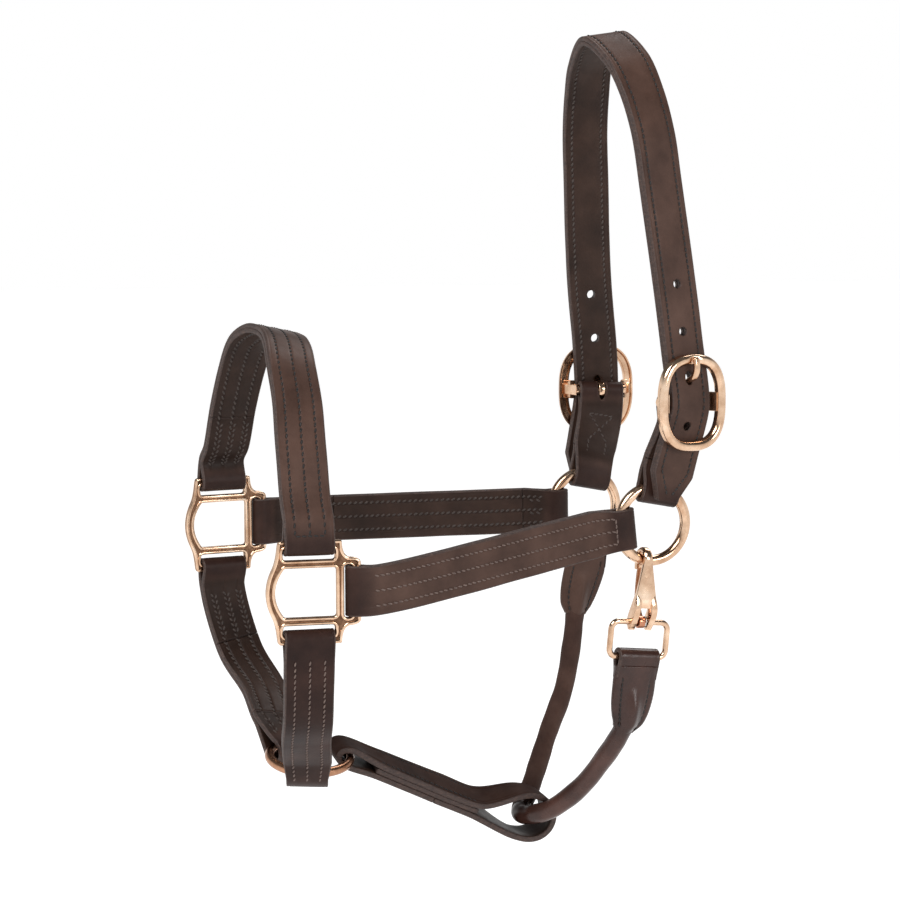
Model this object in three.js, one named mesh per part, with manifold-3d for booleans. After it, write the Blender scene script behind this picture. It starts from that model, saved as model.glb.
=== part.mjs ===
// A leather headcollar with brass fittings, standing as it hangs from a horse's poll.
// Millimetres. +X is the horse's left, called the near side. -Y is towards the nose, and +Z is up.
// The parts are laid out from the middle of the line through the two throat rings, and the
// finished group is then moved so that the origin is the seat of the crown strap on the poll.
import * as THREE from 'three';
import { mergeVertices } from 'three/addons/utils/BufferGeometryUtils.js';
import Module from 'manifold-3d';

const wasm = await Module();
wasm.setup();

// Leather
const STRAP_WIDTH = 25.4;
const PLY = 2.4;
const PLY_GAP = 0.4;
const HALF_PLY = PLY / 2;
const PLY_OFFSET = (PLY + PLY_GAP) / 2;
const CLEARANCE = 0.4;
const SQUARE_LAP = 42;
const RING_LAP = 18;
const STRAP_STEP = 7;
const LOOP_WIDTH = 22;

// Throat rings
const RING_X = 43.2;
const RING_RADIUS = 20;
const RING_WIRE = 2.9;

// Crown strap and buckles
const POLL_SEAT = { y: -10.5, z: 259.8 };
const HOLE_PITCH = 25.4;
const HOLE_RADIUS = 2.5;
const BUCKLE_WIDTH = 44;
const BUCKLE_HEIGHT = 52;
const BUCKLE_RIM = 5.5;
const BUCKLE_DEPTH = 4.4;
const BUCKLE_BAR_RADIUS = 2.2;
const BUCKLE_SET_OUT = 11.4;
const BUCKLE_BAR = { x: 49.5, y: 13, z: 66.4 };
const TONGUE_HOLE = { near: 12.2, far: 3.8 };
const BUCKLE_YAW = THREE.MathUtils.degToRad(10);
const TONGUE_WIDTH = 3.6;
const TONGUE_SLOT = 6;
const CROWN_POINT = 15;

// Halter squares, whose near one sits lower because the nose group hangs a little rolled
const SQUARE = { x: 75, y: -206.5, z: -12.4 };
const SQUARE_YAW = THREE.MathUtils.degToRad(7.2);
const SQUARE_DEPTH = 3.6;
const SQUARE_BAR_REACH = 23.6;
const NOSE_ROLL = 0.112;

// Chin ring and its connector to the throat
const CHIN_RING = { y: -181.3, z: -121.8, radius: 21.4, wire: 2.6 };
const CHIN_ROLL = 0.2;
const CHIN_LOOP_TURN = THREE.MathUtils.degToRad(22);
const CHIN_LOOP_RISE = THREE.MathUtils.degToRad(46);
const CHIN_DRAWN = { near: -2, far: 5 };
const CONNECTOR_WIDTH = 20;
const CONNECTOR_PLY = 2.8;
const CONNECTOR_FILLER = 2.6;

// Rolled throat
const ROLL_RADIUS = 5.5;
const ROLL_BORE = 3.6;
const CORE_RADIUS = 3.2;
const TAB_WIDTH = 24;
const TAB_END_WIDTH = 12;

// Snap hook
const SNAP_TILT = THREE.MathUtils.degToRad(5.5);
const SNAP_DEPTH = 3.2;
const EYE_WIDTH = 37;
const EYE_HEIGHT = 22.5;
const EYE_WIRE = 3.3;
const EYE_DROP = 33.5;
const EYE_OUT = 2.6;
const SNAP_WIDTH = 14;
const SNAP_WINDOW = 6.4;
const GATE_WIDTH = 3.2;

const LEATHER = { color: 0x46332c, roughness: 0.55, metalness: 0 };
const LINING = { color: 0x2b201c, roughness: 0.65, metalness: 0 };
const BRASS = { color: 0xd9a67c, roughness: 0.22, metalness: 1 };
const STEEL = { color: 0xb9b6b0, roughness: 0.3, metalness: 1 };
const CORD = { color: 0xc9bda6, roughness: 0.9, metalness: 0 };

const collar = new THREE.Group();

function addPart(name, geometry, look) {
  const mesh = new THREE.Mesh(geometry, new THREE.MeshStandardMaterial(look));
  mesh.name = name;
  collar.add(mesh);
  return mesh;
}

// ---- solids ---------------------------------------------------------------------------------

function toSolid(geometry) {
  const bare = geometry.clone();
  bare.deleteAttribute('normal');
  bare.deleteAttribute('uv');
  const merged = mergeVertices(bare, 1e-4);
  return new wasm.Manifold(new wasm.Mesh({
    numProp: 3,
    vertProperties: new Float32Array(merged.attributes.position.array),
    triVerts: new Uint32Array(merged.index.array),
  }));
}

function fromSolid(solid) {
  const mesh = solid.getMesh();
  const geometry = new THREE.BufferGeometry();
  geometry.setAttribute('position', new THREE.BufferAttribute(new Float32Array(mesh.vertProperties), 3));
  geometry.setIndex(new THREE.BufferAttribute(new Uint32Array(mesh.triVerts), 1));
  geometry.computeVertexNormals();
  return geometry;
}

function join(...geometries) {
  return fromSolid(geometries.map(toSolid).reduce((whole, piece) => whole.add(piece)));
}

function cut(geometry, ...tools) {
  return fromSolid(tools.map(toSolid).reduce((whole, tool) => whole.subtract(tool), toSolid(geometry)));
}

function block(x, y, z, atX = 0, atY = 0, atZ = 0) {
  return new THREE.BoxGeometry(x, y, z).translate(atX, atY, atZ);
}

// ---- straps ---------------------------------------------------------------------------------

// A strap's route: stations of a point on its middle line and the direction of its width there.
// It turns (distance along, height off the middle line, distance across) into a place.
function route(stations) {
  const points = stations.map(([point]) => new THREE.Vector3(...point));
  const curve = new THREE.CatmullRomCurve3(points, false, 'centripetal');
  curve.arcLengthDivisions = 600;
  const widths = stations.map(([, width]) => new THREE.Vector3(...width).normalize());
  const length = curve.getLength();
  function place(along, height, across) {
    const part = THREE.MathUtils.clamp(along / length, 0, 1);
    const t = curve.getUtoTmapping(part);
    const station = Math.min(Math.floor(t * (widths.length - 1)), widths.length - 2);
    const tangent = curve.getTangent(t);
    const width = widths[station].clone().lerp(widths[station + 1], t * (widths.length - 1) - station);
    width.addScaledVector(tangent, -width.dot(tangent)).normalize();
    const out = width.clone().cross(tangent);
    return curve.getPoint(t)
      .addScaledVector(tangent, along - part * length)
      .addScaledVector(out, height)
      .addScaledVector(width, across);
  }
  return { length, place };
}

// Bends a geometry, whose x runs along the strap, y off it and z across it, onto a route.
function bendOnto(geometry, { place }, widthAt = () => 1) {
  const positions = geometry.attributes.position;
  for (let i = 0; i < positions.count; i += 1) {
    const along = positions.getX(i);
    const spot = place(along, positions.getY(i), positions.getZ(i) * widthAt(along));
    positions.setXYZ(i, spot.x, spot.y, spot.z);
  }
  geometry.computeVertexNormals();
  return geometry;
}

// A strip of leather that follows a line seen on its edge. It is a long box with a step for each
// stretch of the line, moved onto the line's points and their normals.
function strip(line, thickness, width) {
  const normals = line.map((point, i) => {
    const before = line[Math.max(i - 1, 0)];
    const after = line[Math.min(i + 1, line.length - 1)];
    const ahead = after.clone().sub(point).normalize();
    const behind = point.clone().sub(before).normalize();
    const turn = ahead.add(behind).normalize();
    return new THREE.Vector2(-turn.y, turn.x);
  });
  const steps = line.length - 1;
  const box = new THREE.BoxGeometry(steps, thickness, width, steps, 1, 1);
  const positions = box.attributes.position;
  for (let i = 0; i < positions.count; i += 1) {
    const step = Math.round(positions.getX(i) + steps / 2);
    const spot = line[step].clone().addScaledVector(normals[step], positions.getY(i));
    positions.setXY(i, spot.x, spot.y);
  }
  return box;
}

function flatRun(from, to, height) {
  const steps = Math.max(1, Math.round(Math.abs(to - from) / STRAP_STEP));
  const points = [];
  for (let i = 0; i <= steps; i += 1) {
    points.push(new THREE.Vector2(THREE.MathUtils.lerp(from, to, i / steps), height));
  }
  return points;
}

// The turn of a ply round a bar at 0, coming in at -height and leaving at +height. It reaches
// past the bar by the back length, because a ring curves away under the edges of a wide strap.
function turnRound({ radius, back = 0, flare, height }) {
  const reach = Math.hypot(flare, height);
  const leave = Math.atan2(height, flare) + Math.acos(radius / reach);
  const steps = 4;
  const upper = [];
  for (let i = 0; i <= steps; i += 1) {
    const angle = THREE.MathUtils.lerp(Math.PI, Math.PI / 2, i / steps);
    upper.push(new THREE.Vector2(radius * Math.cos(angle) - back, radius * Math.sin(angle)));
  }
  if (back > 0) {
    upper.push(new THREE.Vector2(0, radius));
  }
  upper.push(new THREE.Vector2(radius * Math.cos(leave), radius * Math.sin(leave)));
  upper.push(new THREE.Vector2(flare, height));
  const lower = upper.slice(1).reverse().map((point) => new THREE.Vector2(point.x, -point.y));
  return [...lower, ...upper];
}

// A ply that turns round a bar at both ends and comes back along the inside for two laps.
function wrappedPly({ length, start, end, height, laps, thickness = PLY, width = STRAP_WIDTH }) {
  const first = turnRound({ ...start, height });
  const last = turnRound({ ...end, height })
    .reverse()
    .map((point) => new THREE.Vector2(length - point.x, point.y));
  const line = [
    ...flatRun(laps[0], start.flare, -height).slice(0, -1),
    ...first,
    ...flatRun(start.flare, length - end.flare, height).slice(1, -1),
    ...last,
    ...flatRun(length - end.flare, length - laps[1], -height).slice(1),
  ];
  return strip(line, thickness, width);
}

function liningPly({ length, height, laps, thickness = PLY, width = STRAP_WIDTH }) {
  return strip(flatRun(laps[0] + CLEARANCE, length - laps[1] - CLEARANCE, -height), thickness, width);
}

// How far the inner side of a ring's wire falls away under the edges of a strap looped on it.
function fallAway(radius, wire, width) {
  return radius - wire - Math.sqrt((radius - wire) ** 2 - (width / 2) ** 2);
}

const ON_THROAT_RING = {
  radius: RING_WIRE + CLEARANCE + HALF_PLY,
  back: fallAway(RING_RADIUS, RING_WIRE, LOOP_WIDTH),
  flare: 12,
  lap: RING_LAP,
};
const ON_SQUARE = { radius: 2.5 + CLEARANCE + HALF_PLY, flare: 11, lap: SQUARE_LAP };
const ON_BUCKLE = { radius: BUCKLE_BAR_RADIUS + CLEARANCE + HALF_PLY, flare: 10 };
const ON_CHIN_RING = { radius: CHIN_RING.wire + 2 + HALF_PLY, back: 3, flare: 14, lap: RING_LAP };

// A strap is trimmed a little narrower where it goes round a ring.
function ringEndWidth(fromRing, full = STRAP_WIDTH, loop = LOOP_WIDTH) {
  const share = THREE.MathUtils.clamp((fromRing - 2) / 14, 0, 1);
  return THREE.MathUtils.lerp(loop / full, 1, share);
}

// ---- places that several parts share --------------------------------------------------------

// The frame of a halter square: u runs back along the cheek, v up, and n out of its face.
function squareFrame(side) {
  const origin = new THREE.Vector3(side * SQUARE.x, SQUARE.y, SQUARE.z - side * SQUARE.x * NOSE_ROLL);
  const u = new THREE.Vector3(side * Math.sin(SQUARE_YAW), Math.cos(SQUARE_YAW), 0);
  const v = new THREE.Vector3(0, 0, 1);
  const n = u.clone().cross(v).multiplyScalar(side);
  return { origin, u, v, n };
}

function onSquare(side, along, up) {
  const { origin, u, v } = squareFrame(side);
  return origin.clone().addScaledVector(u, along).addScaledVector(v, up).toArray();
}

// The frame of a buckle: l runs up the strap, w back across it, and n out of its face.
function buckleFrame(side) {
  const origin = new THREE.Vector3(side * BUCKLE_BAR.x, BUCKLE_BAR.y, BUCKLE_BAR.z);
  const w = new THREE.Vector3(-side * Math.sin(BUCKLE_YAW), Math.cos(BUCKLE_YAW), 0);
  const l = new THREE.Vector3(0, 0, 1);
  const n = w.clone().cross(l).multiplyScalar(side);
  return { origin, w, l, n };
}

function inFrame(geometry, origin, xAxis, yAxis, zAxis) {
  const matrix = new THREE.Matrix4().makeBasis(xAxis, yAxis, zAxis).setPosition(origin);
  return geometry.applyMatrix4(matrix);
}

function roundedRectangle(width, height, corner, into = new THREE.Shape()) {
  const x = width / 2;
  const y = height / 2;
  into.moveTo(-x + corner, -y);
  into.lineTo(x - corner, -y);
  into.absarc(x - corner, -y + corner, corner, -Math.PI / 2, 0);
  into.lineTo(x, y - corner);
  into.absarc(x - corner, y - corner, corner, 0, Math.PI / 2);
  into.lineTo(-x + corner, y);
  into.absarc(-x + corner, y - corner, corner, Math.PI / 2, Math.PI);
  into.lineTo(-x, -y + corner);
  into.absarc(-x + corner, -y + corner, corner, Math.PI, 1.5 * Math.PI);
  return into;
}

function softExtrude(shape, depth, bevel, curveSegments = 5) {
  return new THREE.ExtrudeGeometry(shape, {
    depth: depth - 2 * bevel,
    bevelEnabled: true,
    bevelThickness: bevel,
    bevelSize: bevel,
    bevelOffset: -bevel,
    bevelSegments: 1,
    curveSegments,
  }).translate(0, 0, bevel - depth / 2);
}

// ---- crown ----------------------------------------------------------------------------------

const CROWN_HALF = [
  [[52.4, 3, 13], [-0.1, 1, -0.2]],
  [[54.2, 8.6, 38], [-0.14, 1, -0.15]],
  [[57.3, 14, 63], [-0.176, 1, 0]],
  [[57.1, 14, 71], [-0.176, 1, 0.04]],
  [[55, 11.8, 92], [-0.176, 1, 0.12]],
  [[53.4, 7.6, 126], [-0.176, 1, 0.12]],
  [[50, 4.2, 158], [-0.176, 1, 0.1]],
  [[46.2, 1.6, 185], [-0.176, 1, 0.1]],
  [[42.3, -1, 211], [-0.17, 1, 0.1]],
  [[34, -4, 233], [-0.12, 1, 0.12]],
  [[23, -7, 249.5], [-0.05, 1, 0.16]],
];

function crownRoute() {
  const far = CROWN_HALF.map(([[x, y, z], [a, b, c]]) => [[-x, y, z], [-a, b, c]]).reverse();
  const top = [[0, POLL_SEAT.y, POLL_SEAT.z + PLY_OFFSET + HALF_PLY], [0, 1, 0.16]];
  return route([...CROWN_HALF, top, ...far]);
}

function crownWidthAt(length) {
  return (along) => {
    const fromEnd = Math.min(along, length - along);
    return fromEnd < CROWN_POINT ? THREE.MathUtils.lerp(0.45, 1, fromEnd / CROWN_POINT) : 1;
  };
}

function crownHoles(crown) {
  const tools = [];
  const barAt = BUCKLE_BAR.z - CROWN_HALF[0][0][2] + 2.2;
  const ends = [[TONGUE_HOLE.near, (x) => x], [TONGUE_HOLE.far, (x) => crown.length - x]];
  for (const [hole, place] of ends) {
    for (const step of [-1, 1, 2]) {
      const drill = new THREE.CylinderGeometry(HOLE_RADIUS, HOLE_RADIUS, 12, 10);
      tools.push(bendOnto(drill.translate(place(barAt + hole + step * HOLE_PITCH), 0, 0), crown));
    }
    tools.push(bendOnto(block(18, 14, TONGUE_SLOT, place(barAt + 9)), crown));
  }
  return tools;
}

function makeCrown() {
  const crown = crownRoute();
  const holes = crownHoles(crown);
  const widthAt = crownWidthAt(crown.length);
  const farPoint = crown.length - CROWN_POINT;
  const plies = [['crown_outer', PLY_OFFSET, LEATHER], ['crown_lining', -PLY_OFFSET, LINING]];
  for (const [name, height, look] of plies) {
    const line = [
      ...flatRun(0, CROWN_POINT, height),
      ...flatRun(CROWN_POINT, farPoint, height).slice(1),
      ...flatRun(farPoint, crown.length, height).slice(1),
    ];
    const run = strip(line, PLY, STRAP_WIDTH);
    addPart(name, cut(bendOnto(run, crown, widthAt), ...holes), look);
  }
}

// ---- buckles and their straps ---------------------------------------------------------------

function buckleFrameShape() {
  const outline = roundedRectangle(BUCKLE_WIDTH, BUCKLE_HEIGHT, 17);
  const [openWidth, openHeight] = [BUCKLE_WIDTH - 2 * BUCKLE_RIM, BUCKLE_HEIGHT - 2 * BUCKLE_RIM];
  outline.holes.push(roundedRectangle(openWidth, openHeight, 12.5, new THREE.Path()));
  const rim = softExtrude(outline, BUCKLE_DEPTH, 1.1).translate(0, 0, BUCKLE_SET_OUT);
  const railX = (BUCKLE_WIDTH - BUCKLE_RIM) / 2;
  const bar = new THREE.CylinderGeometry(BUCKLE_BAR_RADIUS, BUCKLE_BAR_RADIUS, 2 * railX, 10);
  bar.rotateZ(Math.PI / 2);
  const lugHeight = BUCKLE_SET_OUT + BUCKLE_BAR_RADIUS;
  const lugMiddle = lugHeight / 2 - BUCKLE_BAR_RADIUS;
  const lugs = [-1, 1].map((end) => block(4, 6, lugHeight, end * railX, 0, lugMiddle));
  const rimTop = BUCKLE_SET_OUT + BUCKLE_DEPTH / 2;
  const notch = block(TONGUE_WIDTH + 1, 12, 5, 0, BUCKLE_HEIGHT / 2, rimTop);
  return cut(join(rim, bar, ...lugs), notch);
}

function tongueShape() {
  const eye = new THREE.Shape().absarc(0, 0, BUCKLE_BAR_RADIUS + 2.3, 0, 2 * Math.PI);
  eye.holes.push(new THREE.Path().absarc(0, 0, BUCKLE_BAR_RADIUS + 0.35, 0, 2 * Math.PI));
  const across = { depth: TONGUE_WIDTH, bevelEnabled: false, curveSegments: 6 };
  const loop = new THREE.ExtrudeGeometry(eye, across);
  const half = 1.3;
  const middle = [[1.5, 3.7], [7, 5.2], [13.5, 9.9], [19, 12.9], [26.5, 14.2]];
  const prong = strip(middle.map(([x, y]) => new THREE.Vector2(x, y)), 2 * half, TONGUE_WIDTH);
  return join(loop.translate(0, 0, -TONGUE_WIDTH / 2), prong);
}

function makeBuckles() {
  for (const [side, word] of [[1, 'near'], [-1, 'far']]) {
    const { origin, w, l, n } = buckleFrame(side);
    // The shapes are drawn with n as z, so x is chosen to keep them the right way round.
    const across = l.clone().cross(n);
    addPart(`${word}_buckle_frame`, inFrame(buckleFrameShape(), origin, across, l, n), BRASS);
    addPart(`${word}_buckle_tongue`, inFrame(tongueShape(), origin, l, n, l.clone().cross(n)), BRASS);
    makeBuckleStrap(side, word, w);
  }
}

function makeBuckleStrap(side, word, barWidth) {
  const lean = Math.atan2(BUCKLE_BAR.y, BUCKLE_BAR.z);
  const foot = [side * RING_X, RING_RADIUS * Math.sin(lean), RING_RADIUS * Math.cos(lean)];
  const footWidth = [0, Math.cos(lean), -Math.sin(lean)];
  const bar = [side * BUCKLE_BAR.x, BUCKLE_BAR.y, BUCKLE_BAR.z];
  const rise = [0, Math.sin(lean), Math.cos(lean)];
  const above = (distance) => foot.map((value, axis) => value + distance * rise[axis]);
  // The far strap runs the other way, so that its width still points back and its height out.
  const underBar = [bar[0] - side * 1.4, bar[1] - 0.6, bar[2] - 12];
  const stations = [
    [foot, footWidth],
    [above(9), footWidth],
    [underBar, barWidth.toArray()],
    [bar, barWidth.toArray()],
  ];
  const strap = route(side > 0 ? stations : stations.reverse());
  const ends = side > 0 ? [ON_THROAT_RING, ON_BUCKLE] : [ON_BUCKLE, ON_THROAT_RING];
  const shortLap = 14;
  const longLap = strap.length - shortLap - CLEARANCE;
  const ply = wrappedPly({
    length: strap.length,
    start: ends[0],
    end: ends[1],
    height: PLY_OFFSET,
    laps: side > 0 ? [shortLap, longLap] : [longLap, shortLap],
  });
  const slotAt = side > 0 ? strap.length : 0;
  const slot = block(17, 24, TONGUE_WIDTH + 1.2, slotAt + side * 2.5);
  const widthAt = (along) => ringEndWidth(side > 0 ? along : strap.length - along);
  addPart(`${word}_buckle_strap`, cut(bendOnto(ply, strap, widthAt), bendOnto(slot, strap)), LEATHER);
}

// ---- rings ----------------------------------------------------------------------------------

function makeRings() {
  for (const [side, word] of [[1, 'near'], [-1, 'far']]) {
    const ring = new THREE.TorusGeometry(RING_RADIUS, RING_WIRE, 8, 32).rotateY(Math.PI / 2);
    addPart(`${word}_throat_ring`, ring.translate(side * RING_X, 0, 0), BRASS);
  }
  const chin = new THREE.TorusGeometry(CHIN_RING.radius, CHIN_RING.wire, 8, 32);
  addPart('chin_ring', chin.rotateY(Math.atan(CHIN_ROLL)).translate(0, CHIN_RING.y, CHIN_RING.z), BRASS);
}

// ---- halter squares -------------------------------------------------------------------------

function squareOutline() {
  const outline = new THREE.Shape();
  outline.moveTo(-15.6, 26);
  outline.lineTo(-16.2, 22);
  outline.quadraticCurveTo(-16.8, 16, -18.4, 12.6);
  outline.quadraticCurveTo(-25, 0, -18.4, -12.6);
  outline.quadraticCurveTo(-16.8, -16, -16.2, -22);
  outline.lineTo(-15.6, -26);
  outline.lineTo(16.6, -26);
  outline.quadraticCurveTo(16.6, -18.4, 20.4, -17.2);
  outline.quadraticCurveTo(26.2, -17, 26.4, -14.2);
  outline.lineTo(26.4, 14.2);
  outline.quadraticCurveTo(26.2, 17, 20.4, 17.2);
  outline.quadraticCurveTo(16.6, 18.4, 16.6, 26);
  return outline;
}

function squareOpening() {
  const opening = new THREE.Path();
  opening.moveTo(-12.5, 12.4);
  opening.quadraticCurveTo(-22, 0, -12.5, -12.4);
  opening.lineTo(14, -12.4);
  opening.lineTo(14, 12.4);
  return opening;
}

function slotPath(x0, y0, x1, y1) {
  return new THREE.Path([[x0, y0], [x1, y0], [x1, y1], [x0, y1]].map(([x, y]) => new THREE.Vector2(x, y)));
}

function makeSquares() {
  const slotHalf = 13.3;
  for (const [side, word] of [[1, 'near'], [-1, 'far']]) {
    const shape = squareOutline();
    shape.holes.push(squareOpening());
    shape.holes.push(slotPath(-slotHalf, 16.4, slotHalf, 21.9));
    shape.holes.push(slotPath(-slotHalf, -21.9, slotHalf, -16.4));
    shape.holes.push(slotPath(17.8, -slotHalf, 21.9, slotHalf));
    const plate = { depth: SQUARE_DEPTH, bevelEnabled: false, curveSegments: 6 };
    const flat = new THREE.ExtrudeGeometry(shape, plate);
    const { origin, u, v } = squareFrame(side);
    inFrame(flat.translate(0, 0, -SQUARE_DEPTH / 2), origin, u, v, u.clone().cross(v));
    addPart(`${word}_square`, flat, BRASS);
  }
}

// ---- doubled straps between the fittings ----------------------------------------------------

function makeDoubledStrap(name, stations, start, end, widthAt) {
  const strap = route(stations);
  const shape = { length: strap.length, height: PLY_OFFSET, laps: [start.lap, end.lap] };
  const width = widthAt && widthAt(strap.length);
  addPart(`${name}_outer`, bendOnto(wrappedPly({ ...shape, start, end }), strap, width), LEATHER);
  addPart(`${name}_lining`, bendOnto(liningPly(shape), strap, width), LINING);
}

// The cheeks run straight at the middle of each throat ring, so that they turn round its wire.
function makeCheeks() {
  for (const [side, word] of [[1, 'near'], [-1, 'far']]) {
    const square = onSquare(side, SQUARE_BAR_REACH, 0);
    const slope = Math.atan2(-square[2], -square[1]);
    const wire = (distance) => [side * RING_X, -distance * Math.cos(slope), -distance * Math.sin(slope)];
    const up = [0, -side * Math.sin(slope), side * Math.cos(slope)];
    const squareUp = [0, 0, side];
    const stations = [
      [wire(RING_RADIUS), up],
      [wire(RING_RADIUS + 10), up],
      [onSquare(side, SQUARE_BAR_REACH + 12, 0), squareUp],
      [square, squareUp],
    ];
    const widthAt = () => (along) => ringEndWidth(along);
    makeDoubledStrap(`${word}_cheek`, stations, ON_THROAT_RING, ON_SQUARE, widthAt);
  }
}

function noseStation(side, [x, y, z], width) {
  return [[side * x, y, z - side * x * NOSE_ROLL], [side * width[0], width[1], width[2]]];
}

function makeNoseStrap() {
  const back = (side) => squareFrame(side).u.toArray();
  const half = [
    [[68, -205.7, 32], [0.1, 1, 0]],
    [[58.3, -204.6, 55.4], [0.08, 1, -0.05]],
    [[47.5, -202.9, 77.5], [0.05, 1, -0.1]],
    [[33.9, -201.6, 94], [0.03, 1, -0.16]],
    [[17, -198.5, 102.4], [0.01, 1, -0.2]],
  ];
  const stations = [
    [onSquare(1, 0, SQUARE_BAR_REACH), back(1)],
    [onSquare(1, 0, SQUARE_BAR_REACH + 12), back(1)],
    ...half.map(([point, width]) => noseStation(1, point, width)),
    [[0, -197, 104.2], [0, 1, -0.22]],
    ...half.map(([point, width]) => noseStation(-1, point, width)).reverse(),
    [onSquare(-1, 0, SQUARE_BAR_REACH + 12), back(-1)],
    [onSquare(-1, 0, SQUARE_BAR_REACH), back(-1)],
  ];
  makeDoubledStrap('nose', stations, ON_SQUARE, ON_SQUARE);
}

// A strap comes up to the chin ring's wire from outside it and above.
function chinLoop(side) {
  const radial = new THREE.Vector3(side * Math.cos(CHIN_LOOP_TURN), -Math.sin(CHIN_LOOP_TURN), 0);
  radial.z = -radial.x * CHIN_ROLL;
  radial.normalize();
  const across = new THREE.Vector3(side * Math.sin(CHIN_LOOP_TURN), Math.cos(CHIN_LOOP_TURN), 0);
  const up = new THREE.Vector3(CHIN_ROLL, 0, 1).normalize();
  const away = radial.clone().multiplyScalar(Math.cos(CHIN_LOOP_RISE));
  away.addScaledVector(up, Math.sin(CHIN_LOOP_RISE));
  const wire = new THREE.Vector3(0, CHIN_RING.y, CHIN_RING.z);
  wire.addScaledVector(radial, CHIN_RING.radius - 1.5);
  return (distance) => [wire.clone().addScaledVector(away, distance).toArray(), across.toArray()];
}

function makeChinStraps() {
  for (const [side, word] of [[1, 'near'], [-1, 'far']]) {
    const loop = chinLoop(side);
    const back = squareFrame(side).u.toArray();
    const drawn = CHIN_DRAWN[word];
    const stations = [
      [onSquare(side, 0, -SQUARE_BAR_REACH), back],
      [onSquare(side, 0, -SQUARE_BAR_REACH - 12), back],
      noseStation(side, [64, -202.5 + drawn / 2, -80], [0.12, 1, 0]),
      noseStation(side, [47.5, -197 + drawn, -97.5], [0.16, 1, 0]),
      loop(14),
      loop(0),
    ];
    // Each runs so that its height points away from the chin.
    const [first, last] = side > 0 ? [ON_CHIN_RING, ON_SQUARE] : [ON_SQUARE, ON_CHIN_RING];
    const widthAt = (length) => (along) => ringEndWidth(side > 0 ? along : length - along);
    const ordered = side > 0 ? stations.reverse() : stations;
    makeDoubledStrap(`${word}_chin`, ordered, first, last, widthAt);
  }
}

function makeConnector() {
  const wide = (roll) => [1, 0, -roll];
  const onRing = [0, CHIN_RING.y + CHIN_RING.radius, CHIN_RING.z];
  const strap = route([
    [onRing, wide(CHIN_ROLL)],
    [[0, -140, -130.5], wide(0.36)],
    [[0, -106, -146.5], wide(0.44)],
    [[0, -84, -156.6], wide(0.38)],
    [[0, -59.5, -163], wide(0.1)],
  ]);
  const height = (CONNECTOR_PLY + CONNECTOR_FILLER) / 2 + PLY_GAP;
  const halfPly = CONNECTOR_PLY / 2;
  const start = {
    radius: CHIN_RING.wire + 2.5 * CLEARANCE + halfPly,
    back: fallAway(CHIN_RING.radius, CHIN_RING.wire, CONNECTOR_WIDTH) + 1.8,
    flare: 15,
  };
  const end = { radius: ROLL_RADIUS + 5.9 + halfPly, back: 5.8, flare: 27 };
  const shape = { length: strap.length, height, thickness: CONNECTOR_PLY, width: CONNECTOR_WIDTH };
  const seam = strap.length / 2;
  const laps = [seam - PLY_GAP, strap.length - seam - PLY_GAP];
  addPart('chin_connector', bendOnto(wrappedPly({ ...shape, start, end, laps }), strap), LEATHER);
  const middle = flatRun(start.flare + 1, strap.length - end.flare - 1, 0);
  const filler = strip(middle, CONNECTOR_FILLER, CONNECTOR_WIDTH);
  addPart('chin_connector_filler', bendOnto(filler, strap), LINING);
}

// ---- rolled throat --------------------------------------------------------------------------

const SNAP_ANGLE = THREE.MathUtils.degToRad(14);
const SNAP_TOP = new THREE.Vector3(
  RING_X, -RING_RADIUS * Math.sin(SNAP_ANGLE), -RING_RADIUS * Math.cos(SNAP_ANGLE));
const SNAP_DOWN = new THREE.Vector3(0, -Math.sin(SNAP_TILT), -Math.cos(SNAP_TILT));
const EYE_TOP = SNAP_TOP.clone().addScaledVector(SNAP_DOWN, EYE_DROP).setX(RING_X + EYE_OUT);
const EYE_BOTTOM = EYE_TOP.clone().addScaledVector(SNAP_DOWN, EYE_HEIGHT - EYE_WIRE);
const FAR_ANGLE = THREE.MathUtils.degToRad(4);
const FAR_DOWN = new THREE.Vector3(0, Math.sin(FAR_ANGLE), -Math.cos(FAR_ANGLE));
const FAR_FOOT = FAR_DOWN.clone().multiplyScalar(RING_RADIUS).setX(-RING_X);

// The roll starts between the two plies of the near tab and ends between those of the far tab.
const ROLL_POINTS = [
  [44.5, -14, -104],
  [42, -17, -113],
  [36, -22.8, -126.5],
  [26, -34, -146],
  [16, -47.5, -159.5],
  [8.5, -54, -163],
  [0, -57, -164.6],
  [-8.5, -54, -163],
  [-17, -45, -155],
  [-25, -36, -142],
  [-34, -25.5, -126],
  [-40.5, -13.4, -104],
  [-43.3, -7.4, -80],
  [-43.6, -5.4, -64],
  [-43.5, -4.2, -54],
];

function tabStations(side) {
  const spot = (index) => new THREE.Vector3(...ROLL_POINTS.at(index));
  const bar = side > 0 ? EYE_BOTTOM : FAR_FOOT;
  const down = side > 0 ? SNAP_DOWN : FAR_DOWN;
  const grip = side > 0 ? [spot(0), spot(1)] : [spot(-1), spot(-2)];
  const points = [bar, bar.clone().addScaledVector(down, 9), ...grip];
  const stations = points.map((point) => [point.toArray(), [0, -down.z, down.y]]);
  return side > 0 ? stations.reverse() : stations;
}

// Half of a tab's middle line, from its turn round the bar to the end that grips the roll.
function tabRun(length) {
  const grip = ROLL_RADIUS + 2 * CLEARANCE + HALF_PLY;
  const half = [[16, PLY_OFFSET], [26, 3.6], [33, grip], [length, grip]];
  return half.map(([x, y]) => new THREE.Vector2(x, y));
}

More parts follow.
